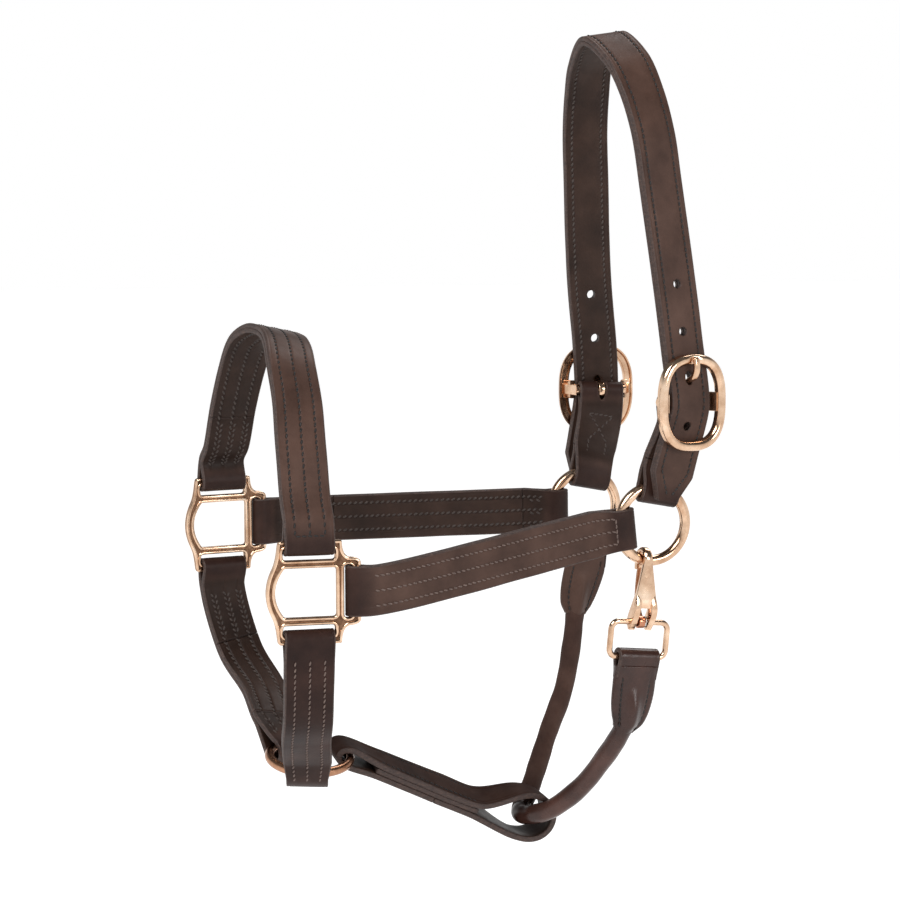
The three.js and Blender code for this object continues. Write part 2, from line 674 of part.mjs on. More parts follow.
function makeTab(side, word, turn, barWidth) {
  const strap = route(tabStations(side));
  const outer = [...turnRound({ ...turn, height: PLY_OFFSET }), ...tabRun(strap.length)];
  const inner = tabRun(strap.length).reverse().map((point) => new THREE.Vector2(point.x, -point.y));
  const line = [...inner, ...outer];
  const mirrored = (point) => new THREE.Vector2(strap.length - point.x, point.y);
  const run = side > 0 ? line.reverse().map(mirrored) : line;
  const fromBar = (along) => (side > 0 ? strap.length - along : along);
  const widthAt = (along) => {
    const taper = THREE.MathUtils.clamp((fromBar(along) - 20) / (strap.length - 20), 0, 1);
    const full = ringEndWidth(fromBar(along), TAB_WIDTH, barWidth);
    return full * THREE.MathUtils.lerp(1, TAB_END_WIDTH / TAB_WIDTH, taper);
  };
  addPart(`${word}_throat_tab`, bendOnto(strip(run, PLY, TAB_WIDTH), strap, widthAt), LEATHER);
}

function makeThroat() {
  const points = ROLL_POINTS.map((point) => new THREE.Vector3(...point));
  const path = new THREE.CatmullRomCurve3(points, false, 'centripetal');
  const section = new THREE.Shape().absarc(0, 0, ROLL_RADIUS, 0, 2 * Math.PI);
  section.holes.push(new THREE.Path().absarc(0, 0, ROLL_BORE, 0, 2 * Math.PI));
  const along = { extrudePath: path, steps: 40, curveSegments: 5, bevelEnabled: false };
  addPart('throat_cover', new THREE.ExtrudeGeometry(section, along), LEATHER);
  const core = new THREE.Shape().absarc(0, 0, CORE_RADIUS, 0, 2 * Math.PI);
  addPart('throat_core', new THREE.ExtrudeGeometry(core, { ...along, curveSegments: 4 }), CORD);
  makeTab(1, 'near', { radius: EYE_WIRE / 2 + 0.7 + CLEARANCE + HALF_PLY, flare: 10 }, TAB_WIDTH);
  const farLoop = 20;
  makeTab(-1, 'far', { ...ON_THROAT_RING, back: fallAway(RING_RADIUS, RING_WIRE, farLoop) }, farLoop);
}

// ---- snap hook ------------------------------------------------------------------------------

// The snap is drawn with x out from the horse, y down the shank from the ring's wire.
function snapSideOutline() {
  const inside = RING_WIRE + 1.1;
  const outside = inside + SNAP_DEPTH;
  const hook = new THREE.Shape();
  hook.moveTo(-inside - 1.6, 4.2);
  hook.lineTo(-outside, 0);
  hook.absarc(0, 0, outside, Math.PI, 2 * Math.PI);
  hook.lineTo(outside, EYE_DROP - 6);
  hook.lineTo(outside - 1, EYE_DROP + 5.6);
  hook.lineTo(EYE_OUT - 3.4, EYE_DROP + 5.6);
  hook.lineTo(EYE_OUT - 3.4, EYE_DROP - 5);
  hook.lineTo(inside, EYE_DROP - 9);
  hook.lineTo(inside, 0);
  hook.absarc(0, 0, inside, 0, Math.PI, true);
  hook.lineTo(-inside, 4.2);
  return hook;
}

function taperedWidth(geometry) {
  const positions = geometry.attributes.position;
  for (let i = 0; i < positions.count; i += 1) {
    const share = THREE.MathUtils.clamp(positions.getY(i) / (EYE_DROP - 6), 0, 1);
    positions.setZ(i, positions.getZ(i) * THREE.MathUtils.lerp(0.3, 1, share));
  }
  return geometry;
}

function inSnapFrame(geometry) {
  const out = new THREE.Vector3(1, 0, 0);
  return inFrame(geometry, SNAP_TOP, out, SNAP_DOWN, out.clone().cross(SNAP_DOWN));
}

function makeSnapBody() {
  const slab = { depth: SNAP_WIDTH, bevelEnabled: false, curveSegments: 5 };
  const flat = new THREE.ExtrudeGeometry(snapSideOutline(), slab);
  const shank = taperedWidth(flat.translate(0, 0, -SNAP_WIDTH / 2));
  const bore = new THREE.CylinderGeometry(EYE_WIRE / 2 + 0.45, EYE_WIRE / 2 + 0.45, 30, 10);
  bore.rotateX(Math.PI / 2).translate(EYE_OUT, EYE_DROP, 0);
  const window = block(16, 24, SNAP_WINDOW, 0, EYE_DROP + 1);
  addPart('snap_body', inSnapFrame(cut(shank, bore, window)), BRASS);
}

function makeSnapEye() {
  const [openWidth, openHeight] = [EYE_WIDTH - 2 * EYE_WIRE, EYE_HEIGHT - 2 * EYE_WIRE];
  const eye = roundedRectangle(EYE_WIDTH, EYE_HEIGHT, 5);
  eye.holes.push(roundedRectangle(openWidth, openHeight, 2.4, new THREE.Path()));
  const loop = softExtrude(eye, EYE_WIRE, 0.9, 3).rotateY(Math.PI / 2);
  loop.translate(EYE_OUT, EYE_DROP + (EYE_HEIGHT - EYE_WIRE) / 2, 0);
  addPart('snap_eye', inSnapFrame(loop), BRASS);
}

function makeSnapGate() {
  const knuckle = new THREE.Shape().absarc(EYE_OUT, EYE_DROP, 3.4, 0, 2 * Math.PI);
  knuckle.holes.push(new THREE.Path().absarc(EYE_OUT, EYE_DROP, EYE_WIRE / 2 + 0.85, 0, 2 * Math.PI));
  const across = { depth: GATE_WIDTH, bevelEnabled: false, curveSegments: 6 };
  const barrel = new THREE.ExtrudeGeometry(knuckle, across).translate(0, 0, -GATE_WIDTH / 2);
  const middle = [[1.2, EYE_DROP - 3.1], [-3, EYE_DROP - 9], [-4.5, 5]];
  const lever = strip(middle.map(([x, y]) => new THREE.Vector2(x, y)), 1.5, GATE_WIDTH);
  addPart('snap_gate', inSnapFrame(join(barrel, lever)), BRASS);
}

function makeSnapSpring() {
  const section = [[2.5, 0], [3.2, 0], [3.2, 1], [2.5, 1], [2.5, 0]];
  const coil = new THREE.LatheGeometry(section.map(([x, y]) => new THREE.Vector2(x, y)), 12);
  coil.rotateX(Math.PI / 2).translate(EYE_OUT, EYE_DROP, 1.95);
  addPart('snap_spring', inSnapFrame(coil), STEEL);
}

makeCrown();
makeBuckles();
makeRings();
makeSquares();
makeCheeks();
makeNoseStrap();
makeChinStraps();
makeConnector();
makeThroat();
makeSnapBody();
makeSnapEye();
makeSnapGate();
makeSnapSpring();

collar.position.set(0, -POLL_SEAT.y, -POLL_SEAT.z);

export default collar;
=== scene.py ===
import math

import bmesh
import bpy
import numpy as np
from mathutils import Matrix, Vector, noise


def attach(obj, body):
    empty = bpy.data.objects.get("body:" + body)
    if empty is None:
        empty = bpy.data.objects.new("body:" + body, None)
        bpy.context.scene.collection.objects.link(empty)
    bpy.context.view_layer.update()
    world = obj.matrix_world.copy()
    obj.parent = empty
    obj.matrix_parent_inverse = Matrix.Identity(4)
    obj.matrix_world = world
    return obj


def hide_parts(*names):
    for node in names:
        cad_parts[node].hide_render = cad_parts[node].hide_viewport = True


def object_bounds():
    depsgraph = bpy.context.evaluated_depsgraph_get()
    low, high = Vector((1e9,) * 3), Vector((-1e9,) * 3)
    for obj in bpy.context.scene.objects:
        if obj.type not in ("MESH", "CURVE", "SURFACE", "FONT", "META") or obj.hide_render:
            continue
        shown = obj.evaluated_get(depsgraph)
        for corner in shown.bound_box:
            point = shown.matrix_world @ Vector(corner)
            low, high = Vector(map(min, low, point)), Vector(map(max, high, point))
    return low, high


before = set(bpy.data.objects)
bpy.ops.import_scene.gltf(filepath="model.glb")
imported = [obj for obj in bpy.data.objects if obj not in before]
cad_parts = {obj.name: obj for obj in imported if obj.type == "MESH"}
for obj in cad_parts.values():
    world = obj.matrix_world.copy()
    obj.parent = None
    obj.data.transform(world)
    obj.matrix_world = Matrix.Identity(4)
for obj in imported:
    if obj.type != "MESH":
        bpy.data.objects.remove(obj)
cad_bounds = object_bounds()

# A leather headcollar's looks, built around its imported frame. Places are in millimetres, measured
# from the middle of the line through the two throat rings, until to_frame() turns them into metres
# in the row's frame, whose origin is the seat of the crown strap on the poll.

MM = 0.001
POLL_SEAT = np.array([0, -10.5, 259.8])

# Leather
STRAP_WIDTH = 25.4
PLY = 2.4
PLY_GAP = 0.4
CLEARANCE = 0.4
HALF_PLY = PLY / 2
PLY_OFFSET = (PLY + PLY_GAP) / 2
SQUARE_LAP = 42
RING_LAP = 18
LOOP_WIDTH = 22
ROW_INSET = 7.6
CROWN_ROW_INSET = 8.5
STITCH_PITCH = 3.1
STITCH_RADIUS = 0.5
LINE_STEP = 1.1

# Rings
RING_X = 43.2
RING_RADIUS = 20
RING_WIRE = 2.9
CHIN_RING_CENTRE = np.array([0, -181.3, -121.8])
CHIN_RING_RADIUS = 21.4
CHIN_RING_WIRE = 2.6
CHIN_ROLL = 0.2
CHIN_LOOP_TURN = math.radians(22)
CHIN_DRAWN = {1: -2, -1: 5}
CHIN_LOOP_RISE = math.radians(46)

# Crown and buckles
HOLE_PITCH = 25.4
HOLE_RADIUS = 2.5
TONGUE_HOLE_NEAR = 12.2
TONGUE_HOLE_FAR = 3.8
BUCKLE_WIDTH = 44
BUCKLE_HEIGHT = 52
BUCKLE_RIM = 5.5
BUCKLE_DEPTH = 4.4
BUCKLE_BAR_RADIUS = 2.2
BUCKLE_SET_OUT = 11.4
BUCKLE_BAR = np.array([49.5, 13, 66.4])
BUCKLE_YAW = math.radians(10)
TONGUE_WIDTH = 3.6
TONGUE_SLOT_EXTRA = 1.3

# Halter squares
SQUARE_X, SQUARE_Y, SQUARE_Z = 75, -206.5, -12.4
SQUARE_YAW = math.radians(7.2)
SQUARE_DEPTH = 3.6
SQUARE_BAR_REACH = 23.6
NOSE_ROLL = 0.112

# Connector, throat and snap
CONNECTOR_WIDTH = 20
CONNECTOR_PLY = 2.8
CONNECTOR_FILLER = 2.6
ROLL_RADIUS = 5.5
TAB_WIDTH = 24
TAB_END_WIDTH = 12
FAR_TAB_LOOP = 20
TAB_ROW = 0.66
TAB_SWELL = 4.5
SNAP_ANGLE = math.radians(14)
SNAP_TILT = math.radians(5.5)
SNAP_DEPTH = 3.2
EYE_WIDTH = 37
EYE_HEIGHT = 22.5
EYE_WIRE = 3.3
EYE_DROP = 33.5
EYE_OUT = 2.6

SIDES = ((1, "near"), (-1, "far"))


def unit(vectors):
    vectors = np.asarray(vectors, float)
    return vectors / np.linalg.norm(vectors, axis=-1, keepdims=True)


def full_turn(count):
    """Even angles once round a circle."""
    return np.linspace(0, 2 * math.pi, count, endpoint=False)


def run_lengths(line):
    """How far along a line each of its points is."""
    return np.concatenate([[0], np.cumsum(np.linalg.norm(np.diff(line, axis=0), axis=1))])


def read_table(values, knots, table):
    """Reads a table of points, given at the knots, at other values."""
    return np.stack([np.interp(values, knots, column) for column in table.T], -1)


def to_frame(points):
    return (np.asarray(points, float) - POLL_SEAT) * MM


def smooth_step(value, low, high):
    share = np.clip((np.asarray(value, float) - low) / (high - low), 0, 1)
    return share * share * (3 - 2 * share)


# ---- meshes ---------------------------------------------------------------------------------

def make_object(name, points, faces, materials, face_slots=None, shades=None):
    mesh = bpy.data.meshes.new(name)
    mesh.from_pydata([tuple(p) for p in to_frame(points)], [], faces)
    for material in materials:
        mesh.materials.append(material)
    if face_slots is not None:
        mesh.polygons.foreach_set("material_index", face_slots)
    mesh.polygons.foreach_set("use_smooth", [True] * len(mesh.polygons))
    for key, values in (shades or {}).items():
        mesh.attributes.new(key, "FLOAT", "POINT").data.foreach_set("value", values)
    outward = bmesh.new()
    outward.from_mesh(mesh)
    bmesh.ops.recalc_face_normals(outward, faces=outward.faces)
    outward.to_mesh(mesh)
    outward.free()
    piece = bpy.data.objects.new(name, mesh)
    bpy.context.scene.collection.objects.link(piece)
    return piece


def grid_faces(rows, columns, closed=False):
    """Faces of a grid whose columns close on themselves, with capped ends unless it is closed."""
    faces = []
    for i in range(rows if closed else rows - 1):
        here, there = i * columns, (i + 1) % rows * columns
        for j in range(columns):
            k = (j + 1) % columns
            faces.append((here + j, here + k, there + k, there + j))
    if not closed:
        faces.append(tuple(reversed(range(columns))))
        faces.append(tuple((rows - 1) * columns + j for j in range(columns)))
    return faces


def joined(*parts):
    """Several pairs of points and faces as one pair."""
    points, faces, start = [], [], 0
    for part_points, part_faces in parts:
        points.append(part_points)
        faces += [tuple(k + start for k in face) for face in part_faces]
        start += len(part_points)
    return np.concatenate(points), faces


def loft(grids, closed=False):
    """Points and faces of one or more grids, each an array of rows of points."""
    return joined(*((grid.reshape(-1, 3), grid_faces(*grid.shape[:2], closed)) for grid in grids))


def dress(piece, body, slot, *nodes):
    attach(piece, body)
    if nodes:
        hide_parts(*nodes)
    return piece


def tube_grid(path, section, closed=False, up=(0, 0, 1)):
    """Rows of a section of (side, up) points swept along a path. It may depend on how far along."""
    path = np.asarray(path, float)
    steps = np.roll(path, -1, 0) - np.roll(path, 1, 0) if closed else np.gradient(path, axis=0)
    ahead = unit(steps)
    side = unit(np.cross(ahead, np.asarray(up, float)))
    lift = np.cross(side, ahead)
    rows = []
    for i, place in enumerate(path):
        shape = section(i / (len(path) - 1)) if callable(section) else section
        rows.append(place + shape[:, :1] * side[i] + shape[:, 1:] * lift[i])
    return np.array(rows)


def round_section(radius, count=20):
    angles = full_turn(count)
    return np.stack([np.cos(angles), np.sin(angles)], 1) * radius


def box_section(half_width, half_height, corner, steps=3):
    points = []
    for quarter, (sx, sy) in enumerate(((1, 1), (-1, 1), (-1, -1), (1, -1))):
        for step in range(steps + 1):
            angle = math.pi / 2 * (quarter + step / steps)
            points.append([sx * (half_width - corner) + corner * math.cos(angle),
                           sy * (half_height - corner) + corner * math.sin(angle)])
    return np.array(points)


# ---- materials ------------------------------------------------------------------------------

def new_material(name):
    material = bpy.data.materials.new(name)
    material.use_nodes = True
    tree = material.node_tree
    return material, tree, tree.nodes["Principled BSDF"]


def set_inputs(tree, node, inputs):
    """Links the inputs that are given another node's output, and sets the others."""
    for key, value in inputs.items():
        if isinstance(value, bpy.types.NodeSocket):
            tree.links.new(value, node.inputs[key])
        else:
            node.inputs[key].default_value = value


def add_node(tree, kind, inputs):
    node = tree.nodes.new(kind)
    set_inputs(tree, node, inputs)
    return node


def object_place(tree):
    return tree.nodes.new("ShaderNodeTexCoord").outputs["Object"]


def add_noise(tree, scale, detail=4, roughness=0.6, stretch=(1, 1, 1)):
    mapping = add_node(tree, "ShaderNodeMapping", {"Vector": object_place(tree), "Scale": stretch})
    texture = add_node(tree, "ShaderNodeTexNoise", {
        "Vector": mapping.outputs["Vector"],
        "Scale": scale,
        "Detail": detail,
        "Roughness": roughness,
    })
    return texture.outputs["Fac"]


def add_pores(tree, scale):
    texture = add_node(tree, "ShaderNodeTexVoronoi", {"Vector": object_place(tree), "Scale": scale})
    texture.feature = "DISTANCE_TO_EDGE"
    return texture.outputs["Distance"]


def add_ramp(tree, source, positions, colors):
    ramp = add_node(tree, "ShaderNodeValToRGB", {"Fac": source})
    elements = ramp.color_ramp.elements
    while len(elements) < len(colors):
        elements.new(0.5)
    for element, position, color in zip(elements, positions, colors):
        element.position = position
        element.color = (*color, 1)
    return ramp.outputs["Color"]


def add_range(tree, source, low, high, to_low, to_high):
    node = add_node(tree, "ShaderNodeMapRange", {
        "Value": source,
        "From Min": low,
        "From Max": high,
        "To Min": to_low,
        "To Max": to_high,
    })
    return node.outputs["Result"]


def add_bump(tree, source, strength, distance, below=None):
    """A bump, on top of the one below if that is given."""
    inputs = {"Height": source, "Strength": strength, "Distance": distance}
    if below is not None:
        inputs["Normal"] = below
    return add_node(tree, "ShaderNodeBump", inputs).outputs["Normal"]


def add_shade(tree, key):
    """A shade that make_object stored at the mesh's points."""
    node = tree.nodes.new("ShaderNodeAttribute")
    node.attribute_name = key
    return node.outputs["Fac"]


def add_mix(tree, share, first, second, kind="RGBA"):
    node = tree.nodes.new("ShaderNodeMix")
    node.data_type = kind
    first_in, second_in, out = {"RGBA": (6, 7, 2), "FLOAT": (2, 3, 0)}[kind]
    set_inputs(tree, node, {0: share, first_in: first, second_in: second})
    return node.outputs[out]


LEATHER_STOPS = (0.3, 0.52, 0.75)
INNER_COLORS = ((0.013, 0.0064, 0.0043), (0.0235, 0.012, 0.0083), (0.039, 0.0205, 0.0145))
WORN_COLORS = ((0.0125, 0.0048, 0.0036), (0.024, 0.0102, 0.0074), (0.044, 0.0198, 0.0145))
WORN_ROUGHNESS = 0.44


def leather(name, colors, rough, grain=0.25, coat=0.0, pores=900, shaded=False, specular=0.16):
    material, tree, shader = new_material(name)
    blotches = add_noise(tree, 38, 5, 0.62)
    color = add_ramp(tree, blotches, LEATHER_STOPS, colors)
    roughness = add_range(tree, add_noise(tree, 90), 0.3, 0.7, *rough)
    if shaded:
        inner, worn = add_shade(tree, "inner"), add_shade(tree, "worn")
        color = add_mix(tree, inner, color, add_ramp(tree, blotches, LEATHER_STOPS, INNER_COLORS))
        color = add_mix(tree, worn, color, add_ramp(tree, blotches, LEATHER_STOPS, WORN_COLORS))
        roughness = add_mix(tree, worn, roughness, WORN_ROUGHNESS, "FLOAT")
    folds = add_bump(tree, add_noise(tree, 160, 5), 0.22, 0.0006)
    set_inputs(tree, shader, {
        "Base Color": color,
        "Roughness": roughness,
        "Normal": add_bump(tree, add_pores(tree, pores), grain, 0.00025, folds),
        "Coat Weight": coat,
        "Coat Roughness": 0.32,
        "Specular IOR Level": specular,
    })
    return material


def fibrous_edge(name):
    material, tree, shader = new_material(name)
    fibres = add_noise(tree, 420, 6, 0.7, (1, 1, 2.2))
    colors = ((0.016, 0.008, 0.006), (0.038, 0.019, 0.014), (0.08, 0.043, 0.031))
    set_inputs(tree, shader, {
        "Base Color": add_ramp(tree, fibres, (0.3, 0.5, 0.72), colors),
        "Roughness": 0.62,
        "Normal": add_bump(tree, fibres, 0.55, 0.0004),
    })
    return material


def thread(name, dark, light):
    material, tree, shader = new_material(name)
    set_inputs(tree, shader, {
        "Base Color": add_ramp(tree, add_noise(tree, 1500, 3), (0.35, 0.65), (dark, light)),
        "Roughness": 0.6,
        "Normal": add_bump(tree, add_noise(tree, 2600, 2), 0.5, 0.0003),
    })
    return material


def metal(name, colors, rough, bump=0.05, scale=70):
    material, tree, shader = new_material(name)
    tarnish = add_noise(tree, scale, 5, 0.65)
    set_inputs(tree, shader, {
        "Base Color": add_ramp(tree, tarnish, (0.32, 0.55, 0.74), colors),
        "Metallic": 1,
        "Roughness": add_range(tree, add_noise(tree, 190, 5), 0.3, 0.7, *rough),
        "Normal": add_bump(tree, add_noise(tree, 420), bump, 0.0004),
    })
    return material


GRAIN = leather("leather_grain", ((0.041, 0.0212, 0.0155), (0.064, 0.0342, 0.0252),
                                  (0.09, 0.0495, 0.037)), (0.4, 0.56), shaded=True)
FLESH = leather("leather_inner", ((0.015, 0.0075, 0.005), (0.027, 0.0138, 0.0095),
                                  (0.044, 0.0235, 0.0165)), (0.36, 0.56), 0.35, 0.05, 700)
POLISHED = leather("leather_polished", ((0.02, 0.0078, 0.0058), (0.044, 0.0185, 0.0135),
                                        (0.08, 0.036, 0.027)), (0.2, 0.36), 0.14, 0.22,
                   specular=0.25)
SUEDE = leather("leather_rough", ((0.03, 0.0142, 0.0105), (0.052, 0.0262, 0.0195),
                                  (0.084, 0.045, 0.034)), (0.62, 0.8), 0.5, 0, 520)
DULL = leather("leather_dull", ((0.019, 0.0088, 0.0064), (0.034, 0.0165, 0.012),
                                (0.054, 0.028, 0.0208)), (0.58, 0.74), specular=0.08)
EDGE = fibrous_edge("leather_edge")
# Nearly black thread: its own dark colour, made darker still as painted shade of the stitch holes
# it sits in.
DARK_THREAD_AND_HOLE_SHADE = thread("thread_dark_hole_shade", (0.0025, 0.0017, 0.0015), (0.009, 0.006, 0.005))
BROWN_THREAD = thread("thread_brown", (0.06, 0.037, 0.031), (0.165, 0.112, 0.092))
INNER_THREAD = thread("thread_inner", (0.016, 0.01, 0.008), (0.06, 0.04, 0.032))
BRASS = metal("brass_polished", ((0.5, 0.3, 0.185), (0.76, 0.53, 0.37), (0.9, 0.71, 0.55)),
              (0.08, 0.2), 0.04)
WARM_BRASS = metal("brass_worn", ((0.26, 0.12, 0.065), (0.47, 0.25, 0.15), (0.68, 0.42, 0.28)),
                   (0.14, 0.32))
BRASS_CAST = metal("brass_cast", ((0.09, 0.045, 0.025), (0.2, 0.11, 0.065), (0.4, 0.24, 0.155)),
                   (0.34, 0.52), 0.4, 260)
COPPER = metal("copper_rivet", ((0.4, 0.16, 0.09), (0.55, 0.25, 0.15), (0.7, 0.37, 0.24)),
               (0.18, 0.34))
STEEL = metal("spring_steel", ((0.4, 0.39, 0.37), (0.55, 0.54, 0.52), (0.68, 0.67, 0.64)),
              (0.2, 0.35))

# A ply's grain side, edge and flesh side
GRAIN_PLY = (GRAIN, EDGE, FLESH)
LINING_PLY = (FLESH, EDGE, FLESH)


def sharpen(piece, angle=38):
    """Creases where faces meet sharply."""
    piece.data.set_sharp_from_angle(angle=math.radians(angle))


def make_metal(name, points, faces, body, node, materials=(BRASS,), face_slots=None, angle=38):
    piece = make_object(name, points, faces, materials, face_slots)
    sharpen(piece, angle)
    dress(piece, body, "brass", node)


# ---- strap routes ---------------------------------------------------------------------------

def spline(points, per_span=48):
    """A centripetal Catmull-Rom curve: its places, and the station number at each."""
    points = np.asarray(points, float)
    ends = np.vstack([2 * points[0] - points[1], points, 2 * points[-1] - points[-2]])
    places, numbers = [], []
    for i in range(len(points) - 1):
        p0, p1, p2, p3 = ends[i:i + 4]
        d0, d1, d2 = (np.linalg.norm(b - a) ** 0.5 for a, b in ((p0, p1), (p1, p2), (p2, p3)))
        t1 = ((p1 - p0) / d0 - (p2 - p0) / (d0 + d1) + (p2 - p1) / d1) * d1
        t2 = ((p2 - p1) / d1 - (p3 - p1) / (d1 + d2) + (p3 - p2) / d2) * d1
        t = np.arange(per_span + (i == len(points) - 2))[:, None] / per_span
        places.append(p1 + t1 * t + (-3 * p1 + 3 * p2 - 2 * t1 - t2) * t ** 2
                      + (2 * p1 - 2 * p2 + t1 + t2) * t ** 3)
        numbers.append(i + t[:, 0])
    return np.concatenate(places), np.concatenate(numbers)


class Route:
    """A strap's middle line. It turns (along, height off it, across) into a place."""

    def __init__(self, stations):
        self.places, numbers = spline([point for point, _ in stations])
        self.along = run_lengths(self.places)
        self.length = self.along[-1]
        self.ahead = unit(np.gradient(self.places, self.along, axis=0))
        widths = unit([width for _, width in stations])
        self.widths = read_table(numbers, range(len(widths)), widths)

    def at(self, along):
        inside = np.clip(along, 0, self.length)
        place, ahead, width = (read_table(inside, self.along, table)
                               for table in (self.places, self.ahead, self.widths))
        ahead = unit(ahead)
        width = unit(width - ahead * np.sum(width * ahead, -1, keepdims=True))
        return place + ahead * (along - inside)[..., None], ahead, width

    def place(self, along, height, across):
        given = (np.asarray(value, float) for value in (along, height, across))
        along, height, across = np.broadcast_arrays(*given)
        spot, ahead, width = self.at(along)
        out = np.cross(width, ahead)
        return spot + out * height[..., None] + width * across[..., None]


# ---- straps ---------------------------------------------------------------------------------

def resample(line, passes=3):
    """A line seen on the strap's edge, evened out and with its corners eased."""
    line = np.asarray(line, float)
    moved = np.linalg.norm(np.diff(line, axis=0), axis=1) > 1e-6
    line = line[np.concatenate([[True], moved])]
    run = run_lengths(line)
    count = max(4, int(run[-1] / LINE_STEP))
    line = read_table(np.linspace(0, run[-1], count + 1), run, line)
    for _ in range(passes):
        line[1:-1] = (line[:-2] + 2 * line[1:-1] + line[2:]) / 4
    return line


def turn_round(radius, flare, height, back=0):
    """Round a bar at 0, coming in at -height and leaving at +height."""
    reach = math.hypot(flare, height)
    leave = math.atan2(height, flare) + math.acos(radius / reach)
    upper = [[radius * math.cos(angle) - back, radius * math.sin(angle)]
             for angle in np.linspace(math.pi, math.pi / 2, 16)]
    if back > 0:
        upper.append([0, radius])
    upper += [[radius * math.cos(leave), radius * math.sin(leave)], [flare, height]]
    lower = [[x, -y] for x, y in reversed(upper[1:])]
    return lower + upper


def wrapped_line(length, start, end, height, laps):
    """A ply that turns round a bar at both ends and comes back along the inside for two laps."""
    first = turn_round(height=height, **start)
    last = [[length - x, y] for x, y in reversed(turn_round(height=height, **end))]
    return [[laps[0], -height], *first, *last, [length - laps[1], -height]]


def fall_away(radius, wire, width):
    inner = radius - wire
    return inner - math.sqrt(inner ** 2 - (width / 2) ** 2)


ON_THROAT_RING = {"radius": RING_WIRE + CLEARANCE + HALF_PLY, "flare": 12,
                  "back": fall_away(RING_RADIUS, RING_WIRE, LOOP_WIDTH)}
ON_SQUARE = {"radius": 2.5 + CLEARANCE + HALF_PLY, "flare": 11}
ON_BUCKLE = {"radius": BUCKLE_BAR_RADIUS + CLEARANCE + HALF_PLY, "flare": 10}
ON_CHIN_RING = {"radius": CHIN_RING_WIRE + 2 + HALF_PLY, "back": 3, "flare": 14}


def ring_end_width(from_ring, full=STRAP_WIDTH, loop=LOOP_WIDTH):
    share = np.clip((np.asarray(from_ring, float) - 2) / 14, 0, 1)
    return loop / full + (1 - loop / full) * share


def ply_section(width, thickness, rows, depth):
    """A ply's section: (across, off) points round it, how far each one dips along the stitches,
    and the face kind after each point. Kind 0 is the grain side, 1 an edge and 2 the flesh side."""
    half = width / 2
    corner = 0.75
    flat = half - corner
    groove = half - 1.7
    by_groove = np.array([-0.4, 0, 0.4])
    by_row = np.array([-0.9, -0.45, 0, 0.45, 0.9])
    across = np.concatenate([np.linspace(-flat, flat, 15), by_groove - groove, by_groove + groove,
                             *(row + by_row for row in rows)])
    across = np.unique(np.round(across, 3))
    across = across[(across >= -flat) & (across <= flat)]
    crease = 0.14 * np.exp(-((np.abs(across) - groove) / 0.35) ** 2)
    dip = sum((depth * np.exp(-((across - row) / 0.5) ** 2) for row in rows), np.zeros(len(across)))
    top = np.stack([across, thickness / 2 - crease], 1)[::-1]
    bottom = np.stack([np.linspace(-flat, flat, 7), np.full(7, -thickness / 2)], 1)
    quarter = np.linspace(0, math.pi / 2, 4)[1:-1]
    lift = thickness / 2 - corner

    def edge(sign):
        low = [[sign * (flat + corner * math.sin(angle)), -lift - corner * math.cos(angle)]
               for angle in quarter]
        high = [[sign * (flat + corner * math.cos(angle)), lift + corner * math.sin(angle)]
                for angle in quarter]
        side = [[sign * half, -lift], [sign * (half + 0.08), 0], [sign * half, lift]]
        return low + side + high
    right, left = edge(1), edge(-1)[::-1]
    points = np.array([*bottom, *right, *top, *left])
    before, after = np.zeros(len(bottom) + len(right)), np.zeros(len(left))
    dips = np.concatenate([before, dip[::-1], after])
    kinds = ((2, len(bottom) - 1), (1, len(right) + 1), (0, len(top) - 1), (1, len(left) + 1))
    return points, dips, [kind for kind, count in kinds for _ in range(count)]


def wavy(points, amount, scale):
    """Pushes each point a little by smooth noise, as hand-worked leather has."""
    moved = [p + amount * np.array(noise.noise_vector(Vector(p * scale))) for p in points]
    return np.array(moved)


def left_of(line):
    ahead = unit(np.gradient(line, axis=0))
    return np.stack([-ahead[:, 1], ahead[:, 0]], 1)


def face_heights(line, sign):
    """The outer face's height above or below the route, as a function of the distance along it."""
    line = resample(line)
    face = line + left_of(line) * (HALF_PLY - 0.12)
    face = face[face[:, 1] * sign > 0]
    face = face[np.argsort(face[:, 0])]
    return lambda along: float(np.interp(along, face[:, 0], face[:, 1]))


def strap_shades(line, length, columns, least_worn):
    """How worn each point of a ply is round its folds, and how far it is on the inner side."""
    from_end = np.minimum(line[:, 0], length - line[:, 0])
    worn = 1 - smooth_step(from_end, 1, 13)
    inner = smooth_step(-line[:, 1], 0, 1.2) * smooth_step(from_end, 2, 9)
    worn = np.maximum(worn * 0.9, least_worn) * (1 - inner)
    return {"worn": np.repeat(worn, columns), "inner": np.repeat(inner, columns)}


def make_ply(name, route, line, width_at=None, rows=(), width=STRAP_WIDTH,
             thickness=PLY + PLY_GAP * 0.85, materials=GRAIN_PLY, depth=0.34, close=True,
             least_worn=0.0, passes=3):
    """A ply of leather along a line. Its grain side is on the line's left."""
    line = resample(line, passes)
    left = left_of(line)
    section, dips, kinds = ply_section(width, thickness, rows, depth)
    from_end = np.minimum(line[:, 0], route.length - line[:, 0])
    off = section[None, :, 1] - dips[None, :] * smooth_step(from_end, 4, 11)[:, None]
    sink = (thickness - PLY) / 2 if close else 0
    middle = line - left * sink
    along = middle[:, None, 0] + left[:, None, 0] * off
    height = middle[:, None, 1] + left[:, None, 1] * off
    share = np.ones(len(line)) if width_at is None else width_at(line[:, 0])
    across = section[None, :, 0] * share[:, None]
    points, faces = loft([route.place(along, height, across)])
    slots = kinds * (len(line) - 1) + [1, 1]
    shades = strap_shades(line, route.length, len(section), least_worn)
    return make_object(name, wavy(points, 0.16, 0.045), faces, materials, slots, shades)


